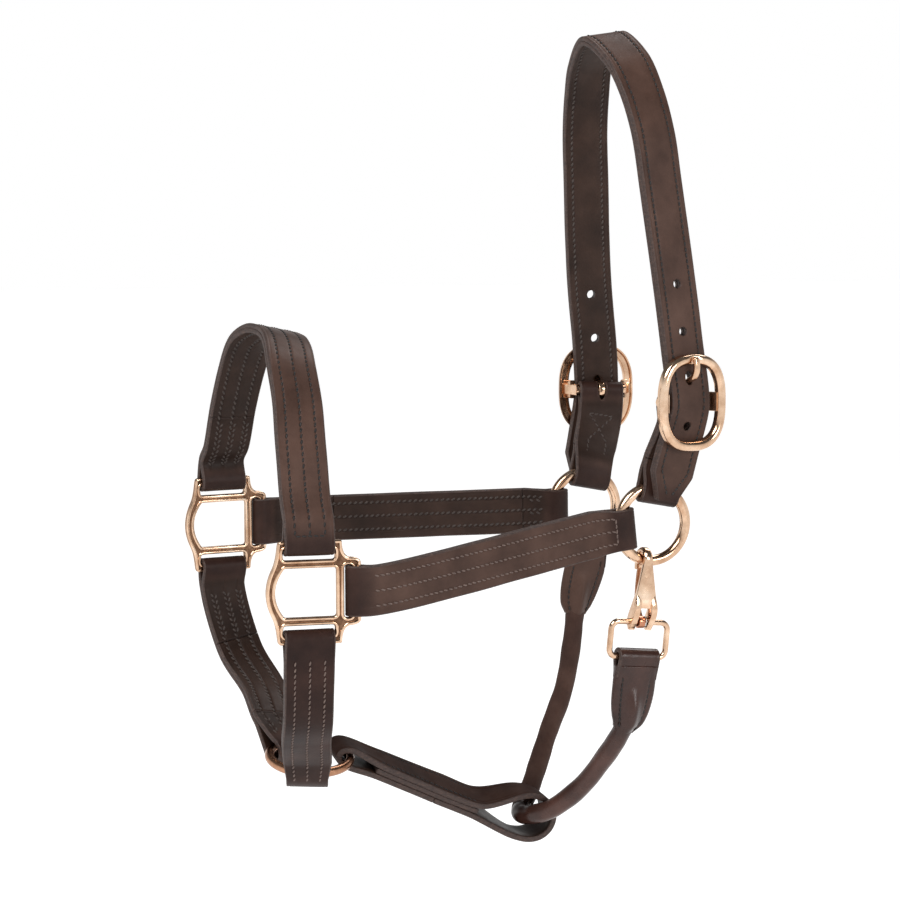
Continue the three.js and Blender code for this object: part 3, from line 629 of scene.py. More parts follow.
def capsule():
    rings, around = 6, 8
    angles = full_turn(around)
    rows = []
    for turn in math.pi * (np.arange(rings) + 0.5) / rings:
        x = -math.copysign(abs(math.cos(turn)) ** 0.7, math.cos(turn))
        wide = math.sin(turn)
        rows.append(np.stack([np.full(around, x), wide * np.cos(angles), wide * np.sin(angles)], 1))
    return loft([np.array(rows)])


def stitch_mesh(name, stitches, material, stout=1.0):
    """One piece of thread for every (place, direction, out) of a list."""
    shape, shape_faces = capsule()
    size = np.array([STITCH_PITCH * 0.4, STITCH_RADIUS * stout, STITCH_RADIUS * 0.85 * stout])
    parts = []
    for place, ahead, out in stitches:
        ahead = unit(ahead)
        side = unit(np.cross(out, ahead))
        basis = np.stack([ahead, side, np.cross(ahead, side)])
        parts.append((place + (shape * size) @ basis, shape_faces))
    return make_object(name, *joined(*parts), [material])


def stitch_run(route, start, end, height, slant=0.25, width_at=None):
    """Stitches from (along, across) to (along, across) on the face at a height off the route."""
    level = height if callable(height) else lambda along: height
    start, end = np.array(start, float), np.array(end, float)
    count = max(1, int(round(np.linalg.norm(end - start) / STITCH_PITCH)))
    run = unit(end - start)
    turned = run + slant * np.array([-run[1], run[0]])
    stitches = []
    for i in range(count):
        spot = start + (end - start) * (i + 0.5) / count
        share = 1 if width_at is None else float(width_at(spot[0]))
        here = level(spot[0])
        place = route.place(spot[0], here, spot[1] * share)
        there = spot + turned * 0.5
        ahead = route.place(there[0], level(there[0]), there[1] * share) - place
        out = (route.place(spot[0], here + 0.5, spot[1] * share) - place) * math.copysign(1, here)
        stitches.append((place, ahead, unit(out)))
    return stitches


FACE = PLY_OFFSET + HALF_PLY - 0.12
DOUBLED_ROWS = (-ROW_INSET, 0, ROW_INSET)


def doubled_strap(name, body, stations, start, end, stops, laps, width_at=None,
                  thread_material=DARK_THREAD_AND_HOLE_SHADE, tie=(), least_worn=0.0):
    """Two plies with three rows of stitches. stops are how far the rows stay from each end."""
    route = Route(stations)
    widths = width_at and width_at(route.length)
    line = wrapped_line(route.length, start, end, PLY_OFFSET, laps)
    outer = make_ply(f"{name}_outer_leather", route, line, widths, DOUBLED_ROWS,
                     least_worn=least_worn)
    dress(outer, body, "leather", f"{name}_outer")
    lining_line = [[route.length - laps[1] - CLEARANCE, -PLY_OFFSET],
                   [laps[0] + CLEARANCE, -PLY_OFFSET]]
    lining = make_ply(f"{name}_lining_leather", route, lining_line, widths, DOUBLED_ROWS,
                      materials=LINING_PLY, depth=0.55)
    dress(lining, body, "lining", f"{name}_lining")
    first, last = stops[0], route.length - stops[1]
    upper, lower = face_heights(line, 1), face_heights(line, -1)
    returns = ((first + 5, laps[0] - 3), (route.length - laps[1] + 3, last - 5))
    stitches, hidden = [], []
    for row in DOUBLED_ROWS:
        stitches += stitch_run(route, (first, row), (last, row), upper, 0.3, widths)
        slipped = row - 0.6
        hidden += stitch_run(route, (first + 4, slipped), (last - 4, slipped), lower, 0.65, widths)
        slipped = row + 1.5
        for low, high in returns:
            if high - low > 6:
                hidden += stitch_run(route, (low, slipped), (high, slipped), lower, -0.65, widths)
    for end_of_rows in tie:
        place = first if end_of_rows == "start" else last
        stitches += stitch_run(route, (place, -ROW_INSET), (place, ROW_INSET), upper, 0.1, widths)
    dress(stitch_mesh(f"{name}_stitching", stitches, thread_material), body, "leather")
    dress(stitch_mesh(f"{name}_inner_stitching", hidden, INNER_THREAD, 1.25), body, "lining")


# ---- crown ----------------------------------------------------------------------------------

CROWN_HALF = [
    [[52.4, 3, 13], [-0.1, 1, -0.2]],
    [[54.2, 8.6, 38], [-0.14, 1, -0.15]],
    [[57.3, 14, 63], [-0.176, 1, 0]],
    [[57.1, 14, 71], [-0.176, 1, 0.04]],
    [[55, 11.8, 92], [-0.176, 1, 0.12]],
    [[53.4, 7.6, 126], [-0.176, 1, 0.12]],
    [[50, 4.2, 158], [-0.176, 1, 0.1]],
    [[46.2, 1.6, 185], [-0.176, 1, 0.1]],
    [[42.3, -1, 211], [-0.17, 1, 0.1]],
    [[34, -4, 233], [-0.12, 1, 0.12]],
    [[23, -7, 249.5], [-0.05, 1, 0.16]],
]
TAIL = 15


def crown_width(length):
    return lambda along: 0.45 + 0.55 * np.clip(np.minimum(along, length - along) / TAIL, 0, 1)


def crown_holes(route):
    """Cutters for the punched holes and for the slots that the tongues pass through."""
    bar_at = BUCKLE_BAR[2] - CROWN_HALF[0][0][2] + 2.2
    ends = ((TONGUE_HOLE_NEAR, lambda x: x), (TONGUE_HOLE_FAR, lambda x: route.length - x))
    angles = full_turn(28)
    grids = []
    for hole, place in ends:
        for step in (-1, 1, 2, 0):
            half_length = HOLE_RADIUS + (0 if step else TONGUE_SLOT_EXTRA)
            along = place(bar_at + hole + step * HOLE_PITCH) + half_length * np.cos(angles)
            rows = [route.place(along, height, HOLE_RADIUS * np.sin(angles)) for height in (-9, 9)]
            grids.append(np.array(rows))
    return loft(grids)


def cut_with(piece, points, faces):
    cutter = make_object("cutter", points, faces, [EDGE])
    modifier = piece.modifiers.new("holes", "BOOLEAN")
    modifier.object = cutter
    modifier.operation = "DIFFERENCE"
    modifier.solver = "EXACT"
    apply_modifiers(piece)
    bpy.data.objects.remove(cutter)


def apply_modifiers(piece):
    graph = bpy.context.evaluated_depsgraph_get()
    mesh = bpy.data.meshes.new_from_object(piece.evaluated_get(graph))
    piece.modifiers.clear()
    piece.data = mesh


def make_crown():
    far = [[[-x, y, z], [-a, b, c]] for (x, y, z), (a, b, c) in reversed(CROWN_HALF)]
    top = [[0, POLL_SEAT[1], POLL_SEAT[2] + PLY_OFFSET + HALF_PLY], [0, 1, 0.16]]
    route = Route([*CROWN_HALF, top, *far])
    widths = crown_width(route.length)
    rows = (-CROWN_ROW_INSET, CROWN_ROW_INSET)
    holes = crown_holes(route)
    up = [[0, PLY_OFFSET], [route.length, PLY_OFFSET]]
    down = [[route.length, -PLY_OFFSET], [0, -PLY_OFFSET]]
    plies = (("outer", "leather", up, GRAIN_PLY), ("lining", "lining", down, LINING_PLY))
    for word, slot, line, materials in plies:
        ply = make_ply(f"crown_{word}_leather", route, line, widths, rows, materials=materials)
        cut_with(ply, *holes)
        dress(ply, "headstall", slot, f"crown_{word}")
    ends = (TAIL + 2, route.length - TAIL - 2)
    tips = (4, route.length - 4)
    sides = (("", FACE, 0.12, DARK_THREAD_AND_HOLE_SHADE, 1.1), ("_inner", -FACE, -0.5, INNER_THREAD, 1.25))
    for label, height, slant, material, stout in sides:
        stitches = []
        for row in rows:
            tip_row = row * 0.18
            stitches += stitch_run(route, (ends[0], row), (ends[1], row), height, slant)
            stitches += stitch_run(route, (tips[0], tip_row), (ends[0], row), height, slant)
            stitches += stitch_run(route, (ends[1], row), (tips[1], tip_row), height, slant)
        seam = stitch_mesh(f"crown{label}_stitching", stitches, material, stout)
        dress(seam, "headstall", "leather")


# ---- buckles --------------------------------------------------------------------------------

def buckle_place(side):
    """Turns (up the strap, out of it, back across it) from the buckle's bar into a place."""
    origin = BUCKLE_BAR * (side, 1, 1)
    back = np.array([-side * math.sin(BUCKLE_YAW), math.cos(BUCKLE_YAW), 0])
    up = np.array([0, 0, 1])
    out = np.cross(back, up) * side
    return lambda points: origin + np.asarray(points, float) @ np.stack([up, out, back])


def oval_loop(width, height, power):
    """A closed oval between an ellipse and a rectangle, with its outward directions."""
    cosine, sine = round_section(1, 96).T
    points = np.stack([np.sign(cosine) * np.abs(cosine) ** (2 / power) * width / 2,
                       np.sign(sine) * np.abs(sine) ** (2 / power) * height / 2], 1)
    ahead = np.roll(points, -1, 0) - np.roll(points, 1, 0)
    return points, unit(np.stack([ahead[:, 1], -ahead[:, 0]], 1))


def buckle_rim():
    """A domed rim with a hollow back, which dips under the tongue's tip."""
    points, outward = oval_loop(BUCKLE_WIDTH - BUCKLE_RIM, BUCKLE_HEIGHT - BUCKLE_RIM, 2.7)
    half = BUCKLE_RIM / 2
    top = BUCKLE_DEPTH / 2
    front = [(half * math.cos(angle), -0.6 + (top + 0.6) * math.sin(angle))
             for angle in np.linspace(0, math.pi, 13)]
    back = [(-half, -top), (-half + 0.8, -top), (-half + 1.5, -top + 1.3), (half - 1.5, -top + 1.3),
            (half - 0.8, -top), (half, -top)]
    wide, deep = np.array(front + back).T
    rows = []
    for (across, up), (ox, oy) in zip(points, outward):
        dip = 1.9 * math.exp(-(across / 2.6) ** 4) if up > 0 else 0
        dipped = np.where(deep > -top + 0.2, np.minimum(deep, top - dip), deep)
        rows.append(np.stack([up + oy * wide, BUCKLE_SET_OUT + dipped, across + ox * wide], 1))
    return np.array(rows)


def buckle_bar():
    """The bar, with two lugs at each end that carry it under the rim."""
    rail = (BUCKLE_WIDTH - BUCKLE_RIM) / 2
    top = BUCKLE_SET_OUT - 0.4
    rods = [((0, 0, -14.6), (0, 0, 14.6), round_section(BUCKLE_BAR_RADIUS, 24))]
    for end in (-1, 1):
        rods.append(((0, 0.2, end * 13.2), (0, top, end * (rail - 0.4)),
                     box_section(1.4, 3.1, 0.6)))
        rods.append(((0, 4.8, end * 15.2), (0, top, end * (rail - 1.8)),
                     box_section(1.8, 5.2, 0.8)))
    return [tube_grid((foot, head), section, up=(1, 0, 0)) for foot, head, section in rods]


def make_buckles():
    points, faces = joined(loft([buckle_rim()], closed=True), loft(buckle_bar()))
    for side, word in SIDES:
        place = buckle_place(side)
        make_metal(f"{word}_buckle_brass", place(points), faces, "headstall",
                   f"{word}_buckle_frame")
        make_tongue(word, place)
        make_buckle_strap(side, word)


TONGUE_LINES = {
    "near": [(0.8, 3.4), (6, 3.9), (9.6, 5.4), (11.9, 8.4), (13.8, 12), (17, 14.2), (20.5, 14.5),
             (23.6, 13.9)],
    "far": [(0.8, 3.4), (3, 5.2), (4.6, 8.4), (7.6, 11.6), (13, 13.9), (19, 14.5), (23.6, 13.9)],
}


def make_tongue(word, place):
    line, _ = spline([(*point, 0) for point in TONGUE_LINES[word]], 10)
    prong = tube_grid(line, lambda t: box_section(2.35 - 0.6 * t, 1.5 - 0.3 * t, 1.0), up=(0, 1, 0))
    tip = prong[-1].mean(0)
    ahead = unit(line[-1] - line[-2]) * 1.3
    caps = [tip + (prong[-1] - tip) * math.cos(turn) + ahead * math.sin(turn)
            for turn in (0.5, 1.0, 1.4)]
    ring = np.column_stack([round_section(BUCKLE_BAR_RADIUS + 1.35, 32), np.zeros(32)])
    eye = tube_grid(ring, box_section(1.0, TONGUE_WIDTH / 2, 0.5), closed=True)
    points, faces = joined(loft([np.concatenate([prong, caps])]), loft([eye], closed=True))
    make_metal(f"{word}_tongue_brass", place(points), faces, f"{word}_tongue",
               f"{word}_buckle_tongue")


def make_buckle_strap(side, word):
    lean = math.atan2(BUCKLE_BAR[1], BUCKLE_BAR[2])

    def above(distance):
        reach = RING_RADIUS + distance
        return [side * RING_X, reach * math.sin(lean), reach * math.cos(lean)]
    foot_width = [0, math.cos(lean), -math.sin(lean)]
    bar = BUCKLE_BAR * (side, 1, 1)
    bar_width = [-side * math.sin(BUCKLE_YAW), math.cos(BUCKLE_YAW), 0]
    stations = [[above(0), foot_width], [above(9), foot_width],
                [bar + np.array([-side * 1.4, -0.6, -12]), bar_width], [bar, bar_width]]
    route = Route(stations if side > 0 else stations[::-1])
    ends = (ON_THROAT_RING, ON_BUCKLE) if side > 0 else (ON_BUCKLE, ON_THROAT_RING)
    short = 14
    long = route.length - short - CLEARANCE
    laps = (short, long) if side > 0 else (long, short)
    wrapped = wrapped_line(route.length, *ends, PLY_OFFSET, laps)
    line = [[x, -y] for x, y in reversed(wrapped)]

    def widths(along):
        return ring_end_width(along if side > 0 else route.length - along)
    piece = make_ply(f"{word}_buckle_strap_leather", route, line, widths)
    cut_with(piece, *tongue_slot(route, (route.length if side > 0 else 0) + side * 2.5))
    dress(piece, "headstall", "leather", f"{word}_buckle_strap")
    low, high = (7, route.length - 15) if side > 0 else (route.length - 7, 15)
    waist = low + (high - low) * 0.42
    corners = [(high, -7), (waist, 5.5), (low, 5.5), (low, -5.5), (waist, -5.5), (high, 7),
               (high, -7)]
    stitches = []
    for height in (FACE, -FACE):
        for start, end in zip(corners, corners[1:]):
            stitches += stitch_run(route, start, end, height, 0.3)
    seam = stitch_mesh(f"{word}_buckle_strap_stitching", stitches, INNER_THREAD)
    dress(seam, "headstall", "leather")


def tongue_slot(route, middle):
    """A cutter through both plies where the tongue leaves its bar."""
    angles = full_turn(24)
    along = middle + 8.6 * np.cos(angles)
    across = (TONGUE_WIDTH / 2 + 0.8) * np.sin(angles)
    return loft([np.array([route.place(along, height, across) for height in (-12, 12)])])


# ---- rings ----------------------------------------------------------------------------------

def make_ring(name, centre, axis, radius, wire, body, node, material=BRASS):
    axis = unit(axis)
    first = unit(np.cross(axis, (0, 1, 0.3)))
    second = np.cross(axis, first)
    path = centre + round_section(radius, 120) @ np.stack([first, second])
    grid = tube_grid(path, round_section(wire, 24), closed=True, up=axis)
    make_metal(name, *loft([grid], closed=True), body, node, [material])


def make_rings():
    for side, word in SIDES:
        make_ring(f"{word}_throat_ring_brass", np.array([side * RING_X, 0, 0]), (1, 0, 0),
                  RING_RADIUS, RING_WIRE, f"{word}_ring", f"{word}_throat_ring")
    make_ring("chin_ring_brass", CHIN_RING_CENTRE, (CHIN_ROLL, 0, 1), CHIN_RING_RADIUS,
              CHIN_RING_WIRE, "lead_ring", "chin_ring", WARM_BRASS)


# ---- halter squares -------------------------------------------------------------------------

def square_frame(side):
    origin = np.array([side * SQUARE_X, SQUARE_Y, SQUARE_Z - side * SQUARE_X * NOSE_ROLL])
    back = np.array([side * math.sin(SQUARE_YAW), math.cos(SQUARE_YAW), 0])
    up = np.array([0, 0, 1.0])
    return origin, back, up, np.cross(back, up)


def on_square(side, along, up):
    origin, back, lift, _ = square_frame(side)
    return origin + along * back + up * lift


def bend(start, middle, end, steps=8):
    """A quadratic curve's points after its start."""
    t = np.linspace(0, 1, steps + 1)[1:, None]
    start, middle, end = (np.array(p, float) for p in (start, middle, end))
    return list((1 - t) ** 2 * start + 2 * t * (1 - t) * middle + t ** 2 * end)


def bend_on(points, bends):
    """Adds curves to a line, each one from its last point by a middle to an end."""
    for middle, end in bends:
        points += bend(points[-1], middle, end)


def square_outline():
    points = [np.array([-15.6, 26.0]), np.array([-16.2, 22.0])]
    bend_on(points, (((-16.8, 16), (-18.4, 12.6)), ((-25, 0), (-18.4, -12.6)),
                     ((-16.8, -16), (-16.2, -22))))
    points += [np.array([-15.6, -26.0]), np.array([16.6, -26.0])]
    bend_on(points, (((16.6, -18.4), (20.4, -17.2)), ((26.2, -17), (26.4, -14.2))))
    points.append(np.array([26.4, 14.2]))
    bend_on(points, (((26.2, 17), (20.4, 17.2)), ((16.6, 18.4), (16.6, 26))))
    return np.array(points)


def square_holes():
    opening = [np.array([-12.5, 12.4])] + bend((-12.5, 12.4), (-22, 0), (-12.5, -12.4), 16)
    opening += [np.array([14.0, -12.4]), np.array([14.0, 12.4])]
    slots = [(-13.3, 16.4, 13.3, 21.9), (-13.3, -21.9, 13.3, -16.4), (17.8, -13.3, 21.9, 13.3)]
    corners = [[[a, b], [c, b], [c, d], [a, d]] for a, b, c, d in slots]
    return [np.array(opening), *np.array(corners, float)]


def ease_loop(points, radius=0.9, steps=4):
    """Rounds a closed outline's sharp corners."""
    eased = []
    for i, corner in enumerate(points):
        before, after = points[i - 1] - corner, points[(i + 1) % len(points)] - corner
        cut = min(radius, 0.45 * np.linalg.norm(before), 0.45 * np.linalg.norm(after))
        start, end = corner + unit(before) * cut, corner + unit(after) * cut
        eased += [start] + bend(start, corner, end, steps)
    return np.array(eased)


def inset_loop(points, distance):
    """A closed outline moved towards the metal, which is on its left."""
    ahead = unit(np.roll(points, -1, 0) - np.roll(points, 1, 0))
    return points + distance * np.stack([-ahead[:, 1], ahead[:, 0]], 1)


def turned(points, counterclockwise):
    x, y = points.T
    area = np.sum(x * np.roll(y, -1) - y * np.roll(x, -1))
    return points if (area > 0) == counterclockwise else points[::-1]


def flat_plate(loops, half):
    """Points and faces of a flat plate between an outline and its holes."""
    curve = bpy.data.curves.new("plate", "CURVE")
    curve.dimensions = "2D"
    curve.fill_mode = "BOTH"
    curve.extrude = (half - 0.85) * MM
    curve.bevel_depth = 0.25 * MM
    curve.offset = -0.25 * MM
    for loop in loops:
        line = curve.splines.new("POLY")
        line.points.add(len(loop) - 1)
        for point, (x, y) in zip(line.points, loop):
            point.co = (x * MM, y * MM, 0, 1)
        line.use_cyclic_u = True
    plate = bpy.data.objects.new("plate", curve)
    bpy.context.scene.collection.objects.link(plate)
    graph = bpy.context.evaluated_depsgraph_get()
    mesh = bpy.data.meshes.new_from_object(plate.evaluated_get(graph))
    bpy.data.objects.remove(plate)
    points = np.array([vertex.co[:] for vertex in mesh.vertices]) / MM
    return points, [tuple(face.vertices) for face in mesh.polygons]


def make_squares():
    loops = [turned(ease_loop(square_outline(), 2.2), True)]
    loops += [turned(ease_loop(hole, 1.7), False) for hole in square_holes()]
    half = SQUARE_DEPTH / 2
    plate = flat_plate(loops, half)
    grids = []
    for loop in loops:
        rim = inset_loop(loop, 0.85)
        for face in (-1, 1):
            path = np.column_stack([rim, np.full(len(rim), face * (half - 0.95))])
            grids.append(tube_grid(path, round_section(0.95, 12), closed=True))
    rims = loft(grids, closed=True)
    points, faces = joined(plate, rims)
    slots = [1] * len(plate[1]) + [0] * len(rims[1])
    for side, word in SIDES:
        origin, *axes = square_frame(side)
        make_metal(f"{word}_square_brass", origin + points @ np.stack(axes), faces, "noseband",
                   f"{word}_square", (BRASS, BRASS_CAST), slots, 50)


# ---- noseband straps ------------------------------------------------------------------------

def make_cheeks():
    for side, word in SIDES:
        square = on_square(side, SQUARE_BAR_REACH, 0)
        slope = math.atan2(-square[2], -square[1])

        def wire(distance):
            return [side * RING_X, -distance * math.cos(slope), -distance * math.sin(slope)]
        up = [0, -side * math.sin(slope), side * math.cos(slope)]
        across = [0, 0, side]
        stations = [[wire(RING_RADIUS), up], [wire(RING_RADIUS + 10), up],
                    [on_square(side, SQUARE_BAR_REACH + 12, 0), across], [square, across]]
        doubled_strap(f"{word}_cheek", "noseband", stations, ON_THROAT_RING, ON_SQUARE, (3, 9),
                      (RING_LAP, SQUARE_LAP), lambda length: ring_end_width, BROWN_THREAD,
                      ("start",))


def nose_station(side, point, width):
    x, y, z = point
    return [[side * x, y, z - side * x * NOSE_ROLL], [side * width[0], width[1], width[2]]]


def make_nose():
    half = [
        [[68, -205.7, 32], [0.1, 1, 0]],
        [[58.3, -204.6, 55.4], [0.08, 1, -0.05]],
        [[47.5, -202.9, 77.5], [0.05, 1, -0.1]],
        [[33.9, -201.6, 94], [0.03, 1, -0.16]],
        [[17, -198.5, 102.4], [0.01, 1, -0.2]],
    ]
    arms = {}
    for side, _ in SIDES:
        back = square_frame(side)[1]
        arms[side] = [[on_square(side, 0, SQUARE_BAR_REACH + reach), back] for reach in (0, 12)]
        arms[side] += [nose_station(side, *station) for station in half]
    stations = [*arms[1], [[0, -197, 104.2], [0, 1, -0.22]], *arms[-1][::-1]]
    doubled_strap("nose", "noseband", stations, ON_SQUARE, ON_SQUARE, (5.5, 5.5),
                  (SQUARE_LAP, SQUARE_LAP), tie=("start", "end"))


def chin_loop(side):
    radial = unit([side * math.cos(CHIN_LOOP_TURN), -math.sin(CHIN_LOOP_TURN),
                   -side * math.cos(CHIN_LOOP_TURN) * CHIN_ROLL])
    across = [side * math.sin(CHIN_LOOP_TURN), math.cos(CHIN_LOOP_TURN), 0]
    away = radial * math.cos(CHIN_LOOP_RISE) + unit([CHIN_ROLL, 0, 1]) * math.sin(CHIN_LOOP_RISE)
    wire = CHIN_RING_CENTRE + radial * (CHIN_RING_RADIUS - 1.5)
    return lambda distance: [wire + away * distance, across]


def make_chin_straps():
    for side, word in SIDES:
        loop = chin_loop(side)
        back = square_frame(side)[1]
        drawn = CHIN_DRAWN[side]
        stations = [[on_square(side, 0, -SQUARE_BAR_REACH), back],
                    [on_square(side, 0, -SQUARE_BAR_REACH - 12), back],
                    nose_station(side, [64, -202.5 + drawn / 2, -80], [0.12, 1, 0]),
                    nose_station(side, [47.5, -197 + drawn, -97.5], [0.16, 1, 0]),
                    loop(14), loop(0)]

        def widths(length, side=side):
            return lambda along: ring_end_width(along if side > 0 else length - along)
        ends = (ON_CHIN_RING, ON_SQUARE)[::side]
        stops, laps = (2, 10)[::side], (RING_LAP, SQUARE_LAP)[::side]
        doubled_strap(f"{word}_chin", "noseband", stations[::-side], *ends, stops, laps, widths,
                      BROWN_THREAD, least_worn=1.0)


def make_connector():
    def wide(roll):
        return [1, 0, -roll]
    route = Route([
        [CHIN_RING_CENTRE + (0, CHIN_RING_RADIUS, 0), wide(CHIN_ROLL)],
        [[0, -140, -130.5], wide(0.36)],
        [[0, -106, -146.5], wide(0.44)],
        [[0, -84, -156.6], wide(0.38)],
        [[0, -59.5, -163], wide(0.1)],
    ])
    height = (CONNECTOR_PLY + CONNECTOR_FILLER) / 2 + PLY_GAP
    half_ply = CONNECTOR_PLY / 2
    start = {"radius": CHIN_RING_WIRE + 2.5 * CLEARANCE + half_ply, "flare": 15,
             "back": fall_away(CHIN_RING_RADIUS, CHIN_RING_WIRE, CONNECTOR_WIDTH) + 1.8}
    end = {"radius": ROLL_RADIUS + 5.9 + half_ply, "back": 5.8, "flare": 27}
    lap = route.length / 2 - PLY_GAP
    line = wrapped_line(route.length, start, end, height, (lap, lap))
    rows = (-6.6, 6.6)
    piece = make_ply("connector_leather", route, line, rows=rows, width=CONNECTOR_WIDTH,
                     thickness=CONNECTOR_PLY + PLY_GAP * 0.85, materials=(DULL, EDGE, FLESH),
                     close=False, passes=40)
    dress(piece, "connector", "leather", "chin_connector")
    filler_line = [[start["flare"] + 1, 0], [route.length - end["flare"] - 1, 0]]
    filler = make_ply("connector_filler_leather", route, filler_line, width=CONNECTOR_WIDTH - 0.5,
                      thickness=CONNECTOR_FILLER + PLY_GAP, materials=LINING_PLY, close=False)
    dress(filler, "connector", "lining", "chin_connector_filler")
    stitches = []
    face = height + half_ply
    for row in rows:
        for level in (face, -face):
            stitches += stitch_run(route, (17, row), (route.length - 30, row), level, 0.2)
    dress(stitch_mesh("connector_stitching", stitches, DARK_THREAD_AND_HOLE_SHADE), "connector", "leather")


# ---- rolled throat --------------------------------------------------------------------------

SNAP_TOP = np.array([RING_X, -RING_RADIUS * math.sin(SNAP_ANGLE),
                     -RING_RADIUS * math.cos(SNAP_ANGLE)])
SNAP_DOWN = np.array([0, -math.sin(SNAP_TILT), -math.cos(SNAP_TILT)])
EYE_TOP = SNAP_TOP + SNAP_DOWN * EYE_DROP + np.array([EYE_OUT, 0, 0])
EYE_BOTTOM = EYE_TOP + SNAP_DOWN * (EYE_HEIGHT - EYE_WIRE)
FAR_ANGLE = math.radians(4)
FAR_DOWN = np.array([0, math.sin(FAR_ANGLE), -math.cos(FAR_ANGLE)])
FAR_FOOT = FAR_DOWN * RING_RADIUS + np.array([-RING_X, 0, 0])

ROLL_POINTS = [
    [44.5, -14, -104],
    [42, -17, -113],
    [36, -22.8, -126.5],
    [26, -34, -146],
    [16, -47.5, -159.5],
    [8.5, -54, -163],
    [0, -57, -164.6],
    [-8.5, -54, -163],
    [-17, -45, -155],
    [-25, -36, -142],
    [-34, -25.5, -126],
    [-40.5, -13.4, -104],
    [-43.3, -7.4, -80],
    [-43.6, -5.4, -64],
    [-43.5, -4.2, -54],
]


def tab_route(side):
    """From the bar that the tab hangs on down to the roll that it grips."""
    bar, down = (EYE_BOTTOM, SNAP_DOWN) if side > 0 else (FAR_FOOT, FAR_DOWN)
    grip = ROLL_POINTS[:2] if side > 0 else ROLL_POINTS[:-3:-1]
    points = [bar, bar + down * 9, *grip]
    # The width points so that the height is out from the horse.
    return Route([[point, [0, side * down[2], -side * down[1]]] for point in points])


def tab_half_width(from_bar, length, bar_width):
    taper = np.clip((from_bar - 14) / (length - 15), 0, 1)
    bulge = 0.5 * np.exp(-((from_bar - 16) / 7) ** 2)
    full = TAB_WIDTH * ring_end_width(from_bar, TAB_WIDTH, bar_width) + bulge
    return full / 2 * (1 + (TAB_END_WIDTH / TAB_WIDTH - 1) * taper ** 2.8)


def tab_stitches(route, flare, last, bar_width):
    """Two rows on each face, beside the swelling over the roll."""
    stitches = []
    for row in (-1, 1):
        previous = None
        for along in np.arange(flare + 1, last - 1, STITCH_PITCH * 0.9):
            across = row * TAB_ROW * float(tab_half_width(along, route.length, bar_width))
            bump = TAB_SWELL * float(smooth_step(along, flare + 1, last - 9))
            height = PLY_OFFSET + HALF_PLY + bump * math.exp(-(across / 4.9) ** 2 * 1.25) - 0.3
            here = np.array([along, height, across])
            if previous is not None:
                for sign in (1, -1):
                    a = route.place(previous[0], sign * previous[1], previous[2])
                    b = route.place(here[0], sign * here[1], here[2])
                    out = route.place(here[0], sign * (here[1] + 1), here[2]) - b
                    stitches.append(((a + b) / 2, b - a, unit(out)))
            previous = here
    return stitches


def tab_sleeve(route, fold, flare, last, bar_width, start):
    """The sewn part of a tab, which swells over the roll."""
    fold_height = face_heights(fold, 1)
    rows = []
    shape = np.linspace(-1, 1, 33)
    for along in np.arange(start, last, 0.8):
        closing = smooth_step(along, last - 6, last)
        half = (tab_half_width(along, route.length, bar_width) + 0.5) * (1 - 0.12 * closing)
        across = shape * half
        bump = (TAB_SWELL - 0.9 * closing) * smooth_step(along, flare + 1, last - 9)
        cover = 0.5 - 0.36 * smooth_step(along, flare + 1.5, flare + 7)
        flange = max(PLY_OFFSET + HALF_PLY, fold_height(along) + 0.1) + cover - 0.9 * closing
        edge = (1 - np.abs(shape) ** 9) ** 0.5
        height = flange * edge + bump * np.exp(-(across / 4.9) ** 2 * 1.25)
        off_row = (np.abs(across) - half * TAB_ROW) / 0.8
        valley = 0.6 * np.exp(-off_row ** 2) * smooth_step(along, 8, 12)
        height = np.maximum(height - valley, 0.02)
        upper = route.place(along, height, across)
        lower = route.place(along, -height[1:-1], across[1:-1])[::-1]
        rows.append(np.concatenate([upper, lower]))
    return loft([np.array(rows)])


def make_tab(side, word, turn, bar_width, material):
    """A strap folded round a bar, which swells into a sleeve stitched round the roll."""
    route = tab_route(side)
    flare = turn["flare"]
    fold = turn_round(height=PLY_OFFSET, **turn)
    line = [[flare + 1.5, -PLY_OFFSET], *fold, [flare + 1.5, PLY_OFFSET]]

    def share(along):
        return 2 * tab_half_width(along, route.length, bar_width) / TAB_WIDTH
    loop = make_ply(f"{word}_throat_tab_loop", route, line, share, width=TAB_WIDTH,
                    materials=(material, EDGE, FLESH))
    dress(loop, "throat", "leather", f"{word}_throat_tab")
    last = route.length - 1.5
    points, faces = tab_sleeve(route, fold, flare, last, bar_width, turn["radius"] + 0.7)
    sleeve = make_object(f"{word}_throat_tab_leather", wavy(points, 0.22, 0.09), faces, [material])
    dress(sleeve, "throat", "leather")
    stitches = tab_stitches(route, flare, last, bar_width)
    dress(stitch_mesh(f"{word}_throat_tab_stitching", stitches, DARK_THREAD_AND_HOLE_SHADE), "throat", "leather")


